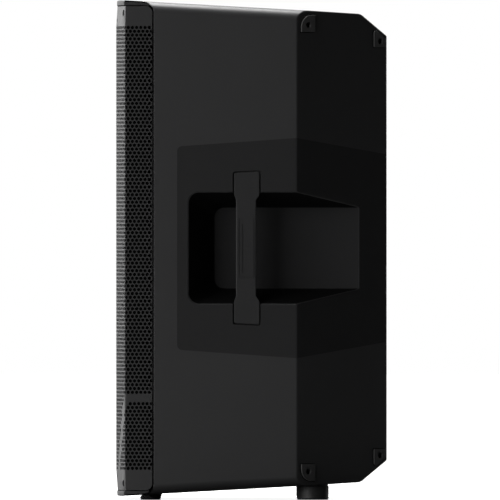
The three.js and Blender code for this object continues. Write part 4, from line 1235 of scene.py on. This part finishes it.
def make_baffle(finish):
    def slice_of(inset, y0, y1):
        low, high = MID_Z - BEZEL_HALF_HEIGHT, MID_Z + BEZEL_HALF_HEIGHT
        return boolean(body_form(inset, 6), block("slice", -1, 1, y0, y1, low, high), "INTERSECT")

    plate = slice_of(2.5 * MM, -150 * MM, -142 * MM)
    rim = cut(slice_of(WALL + 0.5 * MM, -143 * MM, -132 * MM), body_form(WALL + 10 * MM, 4))
    boolean(plate, rim, "UNION")
    x = HALF_WIDTH - 2.5 * MM
    wall_half = BEZEL_HALF_HEIGHT - 10 * MM
    for sign in (1, -1):
        x0, x1 = sorted((sign * x, sign * (x - 4 * MM)))
        wall = block("wall", x0, x1, FRONT_EDGE_Y + 5 * MM, -149 * MM, MID_Z - wall_half, MID_Z + wall_half)
        boolean(plate, wall, "UNION")
    half_x = HALF_WIDTH - 1.4 * MM
    lips = body_form(0, 4, 1.2 * MM)
    low, high = MID_Z - BEZEL_HALF_HEIGHT, MID_Z + BEZEL_HALF_HEIGHT
    boolean(lips, block("bezel", -half_x, half_x, FRONT_Y - 5 * MM, SPLIT_Y, low, high), "INTERSECT")
    boolean(lips, prism("plan", LIP_PATH.outline(SPLIT_Y + 5 * MM), -0.1, 1), "INTERSECT")
    boolean(lips, front_zone(0.4 * MM), "INTERSECT")
    near, half_y, r = FRONT_Y - 0.05, (STRIP_Y - FRONT_Y + 0.05) / 2, 10.2 * MM
    opening = round_outline(half_y, BEZEL_HALF_HEIGHT - LIP, r, 8, near + half_y, MID_Z)
    cut(lips, prism("opening", opening, -1, 1, "x"))
    open_half = BEZEL_HALF_HEIGHT - LIP
    inner_x = HALF_WIDTH - 6 * MM
    cut(lips, block("inner", -inner_x, inner_x, -0.2, SPLIT_Y + 0.01, MID_Z - open_half, MID_Z + open_half))
    boolean(plate, lips, "UNION")
    for sign in (1, -1):
        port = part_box("port_tube_right")
        at = ((port[0].x + port[1].x) / 2 * sign, 0, (port[0].z + port[1].z) / 2)
        cut(plate, cylinder("hole", 28.4 * MM, -0.16, 0, at))
    mouth = round_outline(140 * MM, 100 * MM, 20 * MM, 8, HORN.x, HORN.z)
    cut(plate, prism("mouth", mouth, -0.2, 0, "y"))
    cut(plate, cylinder("bowl", 143 * MM, -0.2, 0, (WOOFER.x, 0, WOOFER.z), segments=96))
    at_rim = lambda p: abs(p.z - MID_Z) > min(half_height(p.y), BEZEL_HALF_HEIGHT) - 2.2 * MM
    bevel(plate, lambda p: 2 * MM if at_rim(p) else 0.4 * MM)
    for vertex in plate.data.vertices:
        limit = min(half_height(vertex.co.y), BEZEL_HALF_HEIGHT)
        vertex.co.z = MID_Z + min(max(vertex.co.z - MID_Z, -limit), limit)
    smooth(plate)
    plate.name = "baffle"
    dress(plate, "cabinet", "cabinet_plastic", finish["cabinet"], "front_baffle")
    # The lip's rounded top and bottom edges get the near-black finish: a painted dark reflection along them.
    plate.data.materials.append(finish["trim"])
    for polygon in plate.data.polygons:
        p, n = polygon.center, polygon.normal
        edge = abs(p.x) > half_x - 2.2 * MM and at_rim(p) and p.y > LIP_PATH.flange_y
        polygon.material_index = int(edge and abs(n.z) > 0.15)


# ------------------------------------------------------------------ screws, handles, bumpers, feet


def screw_head(at, direction, radius, height, name="screw"):
    """A domed head with a cross recess, its underside at a point."""
    r, h = radius, height
    profile = [(0, 0), (r, 0), (r, 0.35 * h), (0.92 * r, 0.62 * h),
               (0.72 * r, 0.85 * h), (0.4 * r, h), (0, h)]
    head = turned(name, profile, at, direction, 32)
    turn = Vector((0, 0, 1)).rotation_difference(Vector(direction)).to_matrix()
    for angle in (0.4, 0.4 + math.pi / 2):
        a, b = 0.55 * r, 0.13 * r
        c, s = math.cos(angle), math.sin(angle)
        ring = [(a, b), (-a, b), (-a, -b), (a, -b)]
        rings = []
        for k, level in ((0.55, 0.3), (1.15, 1.3)):
            points = [Vector((k * u * c - v * s, k * u * s + v * c, level * h)) for u, v in ring]
            rings.append([tuple(turn @ p + Vector(at)) for p in points])
        cut(head, loft("cross", rings))
    smooth(head, 40)
    return head


HANDLE_MARKS = [  # moulded lines: (y, z, half width, half height, corner), the wide one a frame
    (0, 0, 10.8 * MM, 41 * MM, 1.4 * MM),
    (-5.6 * MM, 0, 0.7 * MM, 34 * MM, 0.6 * MM),
    (1.4 * MM, 26 * MM, 4.9 * MM, 0.7 * MM, 0.6 * MM),
    (1.4 * MM, 2 * MM, 4.9 * MM, 0.7 * MM, 0.6 * MM),
    (1.4 * MM, -8 * MM, 4.9 * MM, 0.7 * MM, 0.6 * MM),
    (1.4 * MM, -30 * MM, 4.9 * MM, 0.7 * MM, 0.6 * MM),
]


def make_handle(finish):
    half, inner, seat = 104.6 * MM, HANDLE_LOW.x, HALF_WIDTH - 8 * MM
    bend, run = 66.6 * MM, 12 * MM
    bar = prism("handle_right", handle_outline(0), inner - 5 * MM, HALF_WIDTH + 5 * MM, "x")
    steps = 10
    ease = [(i / steps, (1 - math.cos(math.pi * i / steps)) / 2) for i in range(steps + 1)]
    upper = [(seat + (inner - seat) * e, bend - run * t) for t, e in ease]
    side = [(HALF_WIDTH, -half - 5 * MM), (HALF_WIDTH, half + 5 * MM), (seat, half + 5 * MM)]
    side += upper + [(x, -z) for x, z in reversed(upper)] + [(seat, -half - 5 * MM)]
    profile = prism("profile", [(x, MID_Z + z) for x, z in side], HANDLE_Y - 0.03, HANDLE_Y + 0.03, "y")
    boolean(bar, profile, "INTERSECT")
    grip = lambda p: abs(p.z - MID_Z) < 67 * MM
    bevel(bar, lambda p: 1.5 * MM if grip(p) else 0.6 * MM, 4, 20)
    for y, z, half_y, half_z, r in HANDLE_MARKS:
        outer = round_outline(half_y, half_z, r, 3, HANDLE_Y + y, MID_Z + z)
        groove = prism("groove", outer, HALF_WIDTH - 1.1 * MM, HALF_WIDTH + 1 * MM, "x")
        if half_y > 5 * MM:
            inner_outline = round_outline(half_y - 1.5 * MM, half_z - 1.5 * MM, r, 3, HANDLE_Y + y, MID_Z + z)
            cut(groove, prism("island", inner_outline, 0, 1, "x"))
        cut(bar, groove)
    smooth(bar)
    left = mirrored(bar, "handle_left")
    dress(bar, "cabinet", "handle_rubber", finish["handle"], "side_handle_right")
    dress(left, "cabinet", "handle_rubber", finish["handle"], "side_handle_left")


BUMPER_HOLES = [(17.7 * MM, 304.4 * MM), (142.4 * MM, 283 * MM)]  # along the rake, over the middle


def bumper_holes(depth):
    """Where each bumper's screw goes, and its outward direction."""
    for u, z in BUMPER_HOLES:
        for up in (1, -1):
            at = on_rake(u, up * z, depth)
            for side in (1, -1):
                yield Vector((side * at.x, at.y, at.z)), Vector((side * RAKE_NORMAL.x, RAKE_NORMAL.y, 0))


# Near-black sheets round the bumpers: a painted shadow in the gaps round the pads.
SHADOW_SHEET_GROWTH = 1.07
SHADOW_SHEET_TOP = 0.05 * MM  # how far below the bumper the painted shadow sheet starts and ends
SHADOW_SHEET_BOTTOM = 0.25 * MM


def bumper_shadow_sheet(node):
    """A thin near-black sheet under a bumper, a little wider than it, which shows as a painted shadow round
    the pad.
    """
    middle = centre(node)
    normal = Vector((math.copysign(RAKE_NORMAL.x, middle.x), RAKE_NORMAL.y, 0))
    liner = copy_of(node, f"{node}_liner")
    under = min((v.co - middle).dot(normal) for v in liner.data.vertices)
    for v in liner.data.vertices:
        height = (v.co - middle).dot(normal)
        across = v.co - middle - height * normal
        level = under - (SHADOW_SHEET_TOP if height > 0 else SHADOW_SHEET_BOTTOM)
        v.co = middle + SHADOW_SHEET_GROWTH * across + level * normal
        v.co.y = min(v.co.y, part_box(node)[1].y)
    return smooth(liner)


def make_bumpers(finish):
    for node in frame["nodes"]:
        if not node.startswith("bumper_"):
            continue
        pad = copy_of(node)
        bevel(pad, lambda p: 0.6 * MM, 3, 35)
        smooth(pad)
        dress(pad, "cabinet", "foot_rubber", finish["bumper"], node)
        # A near-black sheet round each pad: painted shadow.
        liner = bumper_shadow_sheet(node)
        dress(liner, "cabinet", "foot_rubber", finish["trim"])
    # The screws in the bumper holes are near black: painted shade in the holes.
    for at, normal in bumper_holes(-3.6 * MM):
        dress(screw_head(at, normal, 3.3 * MM, 1.5 * MM), "cabinet", "bright_steel", finish["sunk"])


def bottom_plane(offset):
    """Everything under the cabinet's sloping bottom, which is moved up by offset."""
    level = lambda y: MID_Z - half_height(y) + offset
    near, far = FRONT_Y - 0.02, BACK_Y + 0.02
    return prism("under", [(near, level(near)), (far, level(far)), (far, -0.1), (near, -0.1)], -0.3, 0.3, "x")


def make_feet(finish):
    for node in frame["nodes"]:
        if not node.startswith("foot_"):
            continue
        low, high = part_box(node)
        r = (high.x - low.x) / 2
        x, y = (low.x + high.x) / 2, high.y - r
        top = high.z - 1.9 * MM
        waist = r - 1.1 * MM
        tread = [(0, 1.2 * MM), (4.2 * MM, 1.2 * MM), (4.6 * MM, 0), (r - 1.6 * MM, 0),
                 (r - 0.5 * MM, 0.4 * MM), (r - 0.3 * MM, 1.1 * MM), (waist, 1.3 * MM),
                 (waist, 2.5 * MM), (0, 2.5 * MM)]
        pad = turned(f"{node}_tread", tread, (x, y, 0), (0, 0, 1), 72)
        smooth(pad)
        dress(pad, "cabinet", "foot_rubber", finish["rubber"], node)
        stem = [(0, 1.9 * MM), (r - 0.5 * MM, 1.9 * MM), (r, 2.4 * MM), (r, top - 0.5 * MM),
                (r - 0.5 * MM, top), (waist, top), (waist, 40 * MM), (0, 40 * MM)]
        body = turned(f"{node}_stem", stem, (x, y, 0), (0, 0, 1), 72)
        boolean(body, bottom_plane(-GAP), "INTERSECT")
        cut(body, cylinder("room", waist + 0.1 * MM, 0, 2.6 * MM, (x, y, 0), (0, 0, 1), 72))
        if "front" in node:
            cut(body, block("bezel", -1, 1, -1, SPLIT_TOP_Y + 1 * MM, MID_Z - BEZEL_HALF_HEIGHT - GAP, 1))
        smooth(body)
        # The stem is a lighter copy of the foot rubber: a painted highlight on its side.
        dress(body, "cabinet", "foot_rubber", finish["foot"], node)
        screw = screw_head((x, y, 1.9 * MM), (0, 0, -1), 3.6 * MM, 1.4 * MM)
        dress(screw, "cabinet", "bright_steel", finish["screw"])


# ------------------------------------------------------------------ amplifier panel

FACE = PANEL_HIGH.y
PANEL_SPAN = (0.16, 0.18)  # from behind the panel to in front of it
AMP_MARKS = []  # thin printed shapes on the panel, as (x, z, half width, half height, turn)


def flange(name, at, half_x, half_z, radius, top, holes=()):
    """A round-cornered plate on the amplifier panel, with holes of (dx, dz, radius)."""
    x, z = at
    plate = prism(name, round_outline(half_x, half_z, radius, 6, x, z), FACE + GAP, top, "y")
    for dx, dz, r in holes:
        hole = cylinder("hole", r, FACE - 0.02, FACE + 0.02, (x + dx, 0, z + dz), segments=48)
        cut(plate, hole)
    return plate


def corner_screws(at, spots, base, finish):
    for dx, dz in spots:
        head = screw_head((at[0] + dx, base, at[1] + dz), (0, 1, 0), 1.9 * MM, 1.1 * MM)
        dress(head, "cabinet", "bright_steel", finish["screw"])


SOCKET_HALF = (13 * MM, 15.5 * MM)  # half the width and height of a socket's flange
SOCKET_CORNER = 2 * MM
SOCKET_SHELL = 12 * MM
SOCKET_SCREWS = ((-10 * MM, 12.4 * MM), (10 * MM, -12.4 * MM))
PIN_ANGLES = (90, 210, 330)


def socket_body(name, node):
    """A socket's flange with the round shell behind it."""
    low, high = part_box(node)
    x, z = place_of(node)
    body = flange(name, (x, z), *SOCKET_HALF, SOCKET_CORNER, high.y)
    boolean(body, cylinder("shell", SOCKET_SHELL, low.y, FACE + 1 * MM, (x, 0, z)), "UNION")
    return body


def finish_socket(body, node, finish):
    bevel(body, lambda p: 0.35 * MM if p.y > FACE + 1 * MM else 0.1 * MM, 2, 40)
    smooth(body)
    dress(body, "cabinet", "dark_plastic", finish["dark"], node)


def pin_places(at, radius):
    """Where the three pins of a round connector are."""
    for angle in PIN_ANGLES:
        t = math.radians(angle)
        yield at[0] + radius * math.cos(t), 0, at[1] + radius * math.sin(t)


def make_jacks(finish):
    for k in (1, 2):
        node = f"combo_jack_{k}"
        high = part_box(node)[1]
        x, z = at = place_of(node)
        jack = socket_body(f"combo_{k}", node)
        lead_in = [(0, FACE - 10 * MM), (9.6 * MM, FACE - 10 * MM), (9.6 * MM, high.y - 1.2 * MM),
                   (10.6 * MM, high.y + 0.1 * MM), (10.6 * MM, high.y + 5 * MM), (0, high.y + 5 * MM)]
        cut(jack, turned("bowl", lead_in, (x, 0, z), segments=64))
        cut(jack, cylinder("bore", 3.4 * MM, 0.152, 0.18, (x, 0, z), segments=40))
        for spot in pin_places(at, 6.2 * MM):
            cut(jack, cylinder("pin", 1.5 * MM, 0.155, 0.18, spot, segments=20))
        cut(jack, block("slot", x - 3.6 * MM, x + 3.6 * MM, FACE - 4 * MM, FACE + 0.02,
                        z + 8.5 * MM, z + 13.6 * MM))
        finish_socket(jack, node, finish)
        corner_screws(at, SOCKET_SCREWS, high.y - 0.1 * MM, finish)
        latch = copy_of(f"combo_latch_{k}")
        bevel(latch, lambda p: 0.4 * MM, 3, 40)
        smooth(latch)
        dress(latch, f"latch_{k}", "bright_steel", finish["steel"], f"combo_latch_{k}")
        AMP_MARKS.append((x, z + 19 * MM, 11 * MM, 0.35 * MM, 0))


def make_link(finish):
    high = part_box("link_output")[1]
    x, z = at = place_of("link_output")
    link_plate = socket_body("link", "link_output")
    inside_profile = [(0, FACE - 15 * MM), (9.6 * MM, FACE - 15 * MM), (9.6 * MM, high.y - 1 * MM),
                      (10.4 * MM, high.y + 0.1 * MM), (10.4 * MM, high.y + 5 * MM), (0, high.y + 5 * MM)]
    cut(link_plate, turned("bowl", inside_profile, (x, 0, z), segments=64))
    key = block("key", x - 1.6 * MM, x + 1.6 * MM, FACE - 14 * MM, FACE + 1 * MM, z - 9.8 * MM, z - 8.4 * MM)
    boolean(link_plate, key, "UNION")
    finish_socket(link_plate, "link_output", finish)
    for spot in pin_places(at, 5 * MM):
        profile = [(0, FACE - 16 * MM), (1.2 * MM, FACE - 16 * MM), (1.2 * MM, FACE - 1.6 * MM),
                   (0.7 * MM, FACE - 1 * MM), (0, FACE - 1 * MM)]
        pin = turned("link_pin", profile, spot, segments=24)
        smooth(pin, 40)
        dress(pin, "cabinet", "bright_steel", finish["steel"])
    corner_screws(at, SOCKET_SCREWS, high.y - 0.1 * MM, finish)
    AMP_MARKS.append((x, z + 19 * MM, 11 * MM, 0.35 * MM, 0))


def make_mains(finish):
    low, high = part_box("mains_inlet")
    x, z = place_of("mains_inlet")
    inlet = flange("inlet", (x, z), 24 * MM, 13.8 * MM, 3 * MM, high.y)
    boolean(inlet, post("shell", (x, z), 14 * MM, 10.5 * MM, low.y, FACE + 1 * MM), "UNION")
    a, b, c = 12 * MM, 8.2 * MM, 3.6 * MM
    hexagon = [(x - a, z - b), (x + a, z - b), (x + a, z + b - c),
               (x + a - c, z + b), (x - a + c, z + b), (x - a, z + b - c)]
    cut(inlet, prism("hollow", hexagon, FACE - 18 * MM, high.y + 0.01, "y"))
    bevel(inlet, lambda p: 0.5 * MM, 2, 40)
    smooth(inlet)
    dress(inlet, "cabinet", "dark_plastic", finish["dark"], "mains_inlet")
    for dx, dz in ((-7, -2), (0, 2), (7, -2)):
        spot = (x + dx * MM, z + dz * MM)
        blade = post("inlet_blade", spot, 0.9 * MM, 2 * MM, FACE - 19 * MM, FACE - 3 * MM)
        bevel(blade, lambda p: 0.3 * MM, 2, 40)
        smooth(blade)
        dress(blade, "cabinet", "bright_steel", finish["steel"])
    corner_screws((x, z), ((-20 * MM, 0), (20 * MM, 0)), high.y - 0.1 * MM, finish)
    frame_low, frame_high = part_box("rocker_frame")
    at = place_of("rocker_frame")
    bezel = flange("rocker_bezel", at, 13 * MM, 15.8 * MM, 2 * MM, frame_high.y)
    boolean(bezel, post("box", at, 11 * MM, 13.5 * MM, frame_low.y, FACE + 1 * MM), "UNION")
    cut(bezel, post("hole", at, 8.4 * MM, 11.4 * MM, FACE - 13 * MM, FACE + 0.02))
    bevel(bezel, lambda p: 0.5 * MM, 3, 40)
    smooth(bezel)
    dress(bezel, "cabinet", "dark_plastic", finish["dark"], "rocker_frame")
    paddle = copy_of("power_rocker")
    bevel(paddle, lambda p: 0.45 * MM, 3, 30)
    smooth(paddle)
    dress(paddle, "rocker", "knob_plastic", finish["knob"], "power_rocker")


def make_knobs(finish):
    for node, body, ticks, sweep in (
        ("encoder_knob", "encoder", 0, 0),
        ("level_knob_1", "level_1", 11, 300),
        ("level_knob_2", "level_2", 11, 300),
    ):
        low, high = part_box(node)
        x, z = place_of(node)
        top = high.y
        r = (high.x - low.x) / 2
        skirt = FACE + 1.2 * MM
        grooves = 18
        count = grooves * 6

        def ring(radius, y, ripple):
            points = []
            for i in range(count):
                t = 2 * math.pi * i / count
                rr = radius - ripple * (0.5 + 0.5 * math.cos(grooves * t)) ** 3
                points.append((x + rr * math.cos(t), y, z + rr * math.sin(t)))
            return points

        deep = 0.55 * MM
        profile = [
            (3.6 * MM, low.y, 0), (3.6 * MM, skirt, 0), (r - 0.3 * MM, skirt, 0), (r, skirt + 0.3 * MM, 0),
            (r, skirt + 1.6 * MM, 0), (r - 0.5 * MM, skirt + 2.0 * MM, deep),
            (r - 0.9 * MM, top - 1.3 * MM, deep), (r - 1.3 * MM, top - 0.5 * MM, 0.3 * MM),
            (r - 2 * MM, top, 0), (r - 3.4 * MM, top - 0.25 * MM, 0),
        ]
        knob = loft(f"{node}_fine", [ring(*p) for p in profile])
        smooth(knob, 36)
        dress(knob, body, "knob_plastic", finish["knob"], node)
        if ticks:
            line = block(f"{node}_mark", x - 0.45 * MM, x + 0.45 * MM, top - 1.0 * MM, top - 0.05 * MM,
                         z + r * 0.3, z + r - 1.9 * MM)
            bevel(line, lambda p: 0.1 * MM, 2, 40)
            dress(line, body, "knob_plastic", finish["print"])
        for i in range(ticks):
            t = math.radians(90 + sweep / 2 - sweep * i / (ticks - 1))
            at = r + 3.4 * MM
            AMP_MARKS.append((x + at * math.cos(t), z + at * math.sin(t), 1.2 * MM, 0.3 * MM, t))
    for k in (1, 2):
        key = copy_of(f"push_button_{k}")
        bevel(key, lambda p: 0.5 * MM if p.y > FACE else 0.1 * MM, 3, 30)
        smooth(key)
        dress(key, f"button_{k}", "knob_plastic", finish["knob"], f"push_button_{k}")
        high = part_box(f"push_button_{k}")[1]
        AMP_MARKS.append((place_of(f"push_button_{k}")[0], high.z + 3.2 * MM, 2.6 * MM, 0.3 * MM, 0))


def make_display(finish):
    low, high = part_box("display_window")
    x, z = place_of("display_window")
    window = flange("display", (x, z), 31 * MM, 20 * MM, 3 * MM, high.y)
    boolean(window, post("stem", (x, z), 27 * MM, 16 * MM, low.y, FACE + 1 * MM), "UNION")
    bevel(window, lambda p: 0.6 * MM if p.y > FACE + 1 * MM else 0.2 * MM, 3, 40)
    smooth(window)
    dress(window, "cabinet", "display_gloss", finish["window"], "display_window")
    outer = round_outline(33 * MM, 22 * MM, 4 * MM, 8, x, z)
    inner = round_outline(31.3 * MM, 20.3 * MM, 3 * MM, 8, x, z)
    bezel = prism("display_frame", outer, FACE, FACE + 1.4 * MM, "y")
    cut(bezel, prism("hole", inner, FACE - 0.01, FACE + 0.01, "y"))
    bevel(bezel, lambda p: 0.5 * MM, 3, 40)
    smooth(bezel)
    dress(bezel, "cabinet", "dark_plastic", finish["dark"])


def make_amplifier(finish):
    panel = prism("amp_plate", panel_outline(0, 8), PANEL_LOW.y, FACE, "y")
    for node, radius in (("encoder_knob", 4.2), ("level_knob_1", 4.2), ("level_knob_2", 4.2),
                         ("combo_jack_1", 12.3), ("combo_jack_2", 12.3), ("link_output", 12.3)):
        at = centre(node)
        cut(panel, cylinder("hole", radius * MM, *PANEL_SPAN, (at.x, 0, at.z), segments=48))
    for node, a, b in (("display_window", 27.5, 16.5), ("push_button_1", 5, 4), ("push_button_2", 5, 4),
                       ("rocker_frame", 11.4, 13.9), ("mains_inlet", 14.4, 10.9)):
        at = centre(node)
        cut(panel, post("hole", (at.x, at.z), a * MM, b * MM, *PANEL_SPAN))
    for k in (1, 2):
        at = centre(f"combo_jack_{k}")
        cut(panel, block("notch", at.x - 3.8 * MM, at.x + 3.8 * MM, *PANEL_SPAN,
                         at.z + 8.3 * MM, at.z + 13.7 * MM))
    bevel(panel, lambda p: 0.5 * MM if abs(p.x) > 0.08 or abs(p.z - MID_Z) > 0.246 else 0.2 * MM, 2, 40)
    smooth(panel)
    dress(panel, "cabinet", "panel_aluminium", finish["panel"], "amp_panel")
    make_jacks(finish)
    make_link(finish)
    make_mains(finish)
    make_knobs(finish)
    make_display(finish)
    half = (PANEL_HIGH - PANEL_LOW) / 2
    levels = (-half.z + 5 * MM, -half.z / 2, 0, half.z / 2, half.z - 5 * MM)
    spots = [(sx * (half.x - 5 * MM), z) for sx in (-1, 1) for z in levels]
    spots += [(0, -half.z + 5 * MM), (0, half.z - 5 * MM)]
    for x, dz in spots:
        head = screw_head((x, FACE - 0.1 * MM, MID_Z + dz), (0, 1, 0), 3.3 * MM, 1.9 * MM)
        dress(head, "cabinet", "bright_steel", finish["screw"])
    make_print(finish)
    sink = copy_of("amp_heatsink")
    bevel(sink, lambda p: 0.45 * MM if p.y > FACE + 4 * MM else 0.2 * MM, 2, 40)
    smooth(sink)
    dress(sink, "cabinet", "panel_aluminium", finish["panel"], "amp_heatsink")


PRINT_FRAMES = ((0.4715, 0.5165), (0.3635, 0.4665), (0.108, 0.160))  # their low and high z


def make_print(finish):
    """Ticks round the knobs, bars over the sockets and frames round the groups."""
    marks = list(AMP_MARKS)
    for z0, z1 in PRINT_FRAMES:
        x, z, a, b, t = 0, (z0 + z1) / 2, 64 * MM, (z1 - z0) / 2, 0.25 * MM
        marks += [(x, z0, a, t, 0), (x, z1, a, t, 0), (x - a, z, t, b, 0), (x + a, z, t, b, 0)]
    verts, faces = [], []
    for x, z, a, b, turn in marks:
        base = len(verts)
        c, s = math.cos(turn), math.sin(turn)
        for y in (FACE - 0.05 * MM, FACE + 0.06 * MM):
            for u, v in ((-a, -b), (a, -b), (a, b), (-a, b)):
                verts.append((x + u * c - v * s, y, z + u * s + v * c))
        quads = [(0, 1, 2, 3), (7, 6, 5, 4), (0, 4, 5, 1), (1, 5, 6, 2), (2, 6, 7, 3), (3, 7, 4, 0)]
        faces += [tuple(base + i for i in q) for q in quads]
    marks_obj = face_outwards(mesh_object("panel_print", verts, faces))
    dress(marks_obj, "cabinet", "panel_aluminium", finish["print"])


# ------------------------------------------------------------------ other pieces

SLOT_FINISH = {
    "cabinet_plastic": "cabinet", "handle_rubber": "handle", "dark_plastic": "dark", "foam": "foam",
    "grille_steel": "grille", "foot_rubber": "rubber", "cone_paper": "paper", "coil_metal": "coil",
    "spider_cloth": "spider", "bright_steel": "steel", "ferrite": "ferrite",
    "panel_aluminium": "panel", "circuit_board": "board", "display_gloss": "window",
    "knob_plastic": "knob", "wire_insulation": "wire", "insert_metal": "insert",
}
PLAIN_PIECES = {  # how wide their edges are rounded, in millimetres, and from what angle
    "pole_cup": (0.5, 40), "baffle_gasket": (0.3, 40),
    "port_tube_right": (0.4, 40), "port_tube_left": (0.4, 40),
    "woofer_basket": (0.5, 40), "woofer_trim_ring": (0.4, 40),
    "woofer_cone": (0, 40), "woofer_dust_cap": (0, 40), "woofer_voice_coil": (0.2, 40),
    "woofer_top_plate": (0.5, 40), "woofer_magnet": (1.0, 40),
    "woofer_back_plate": (0.8, 40), "horn_waveguide": (0.5, 40), "driver_seal": (0.2, 40),
    "driver_magnet_housing": (1.0, 40), "driver_rear_cap": (1.0, 40), "amp_panel_gasket": (0.2, 40),
    "amp_circuit_board": (0.2, 40), "power_supply_board": (0.2, 40),
    "woofer_lead": (0, 60), "tweeter_lead": (0, 60),
    "rigging_insert_top_left": (0.3, 40), "rigging_insert_top_right": (0.3, 40),
    "rigging_insert_rear": (0.3, 40),
}


def refine(node, finish, width, angle):
    """A node's own shape with its edges rounded, for the pieces that need no more."""
    row = next(p for p in frame["record"]["subparts"] if p["node"] == node)
    obj = copy_of(node)
    if width:
        bevel(obj, lambda p: width * MM, 2, angle)
    smooth(obj, 34 if width else 60)
    bodies = frame["record"]["behaviour"]["bodies"]
    body = next(name for name, members in bodies.items() if node in members)
    dress(obj, body, row["material_slot"], finish[SLOT_FINISH[row["material_slot"]]], node)


def make_suspension(node, finish, parts=24):
    """A ring cut into sectors along its radii, each a separate piece with the node's shape and the given
    finish.
    """
    for part in range(parts):
        sector = copy_of(node, f"{node}_{part}")
        bm = edit(sector)
        for sign in (-1, 1):
            angle = math.tau * (part + sign * 0.5) / parts
            away = Vector((-math.sin(angle), 0, math.cos(angle))) * sign
            everything = bm.verts[:] + bm.edges[:] + bm.faces[:]
            bmesh.ops.bisect_plane(bm, geom=everything, plane_co=WOOFER, plane_no=away, clear_outer=True)
        store(bm, sector)
        smooth(sector, 60)
        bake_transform(sector)
        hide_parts(node)
        sector.data.materials.append(finish)


# ------------------------------------------------------------------ assembly

make_camera()
make_studio()
make_floor()
finish = make_materials()
make_cabinet(finish)
make_grille(finish)
make_foam(finish)
make_baffle(finish)
make_handle(finish)
make_bumpers(finish)
make_feet(finish)
make_amplifier(finish)
for node, (width, angle) in PLAIN_PIECES.items():
    refine(node, finish, width, angle)
make_suspension("woofer_surround", finish["rubber"])
make_suspension("woofer_spider", finish["spider"])
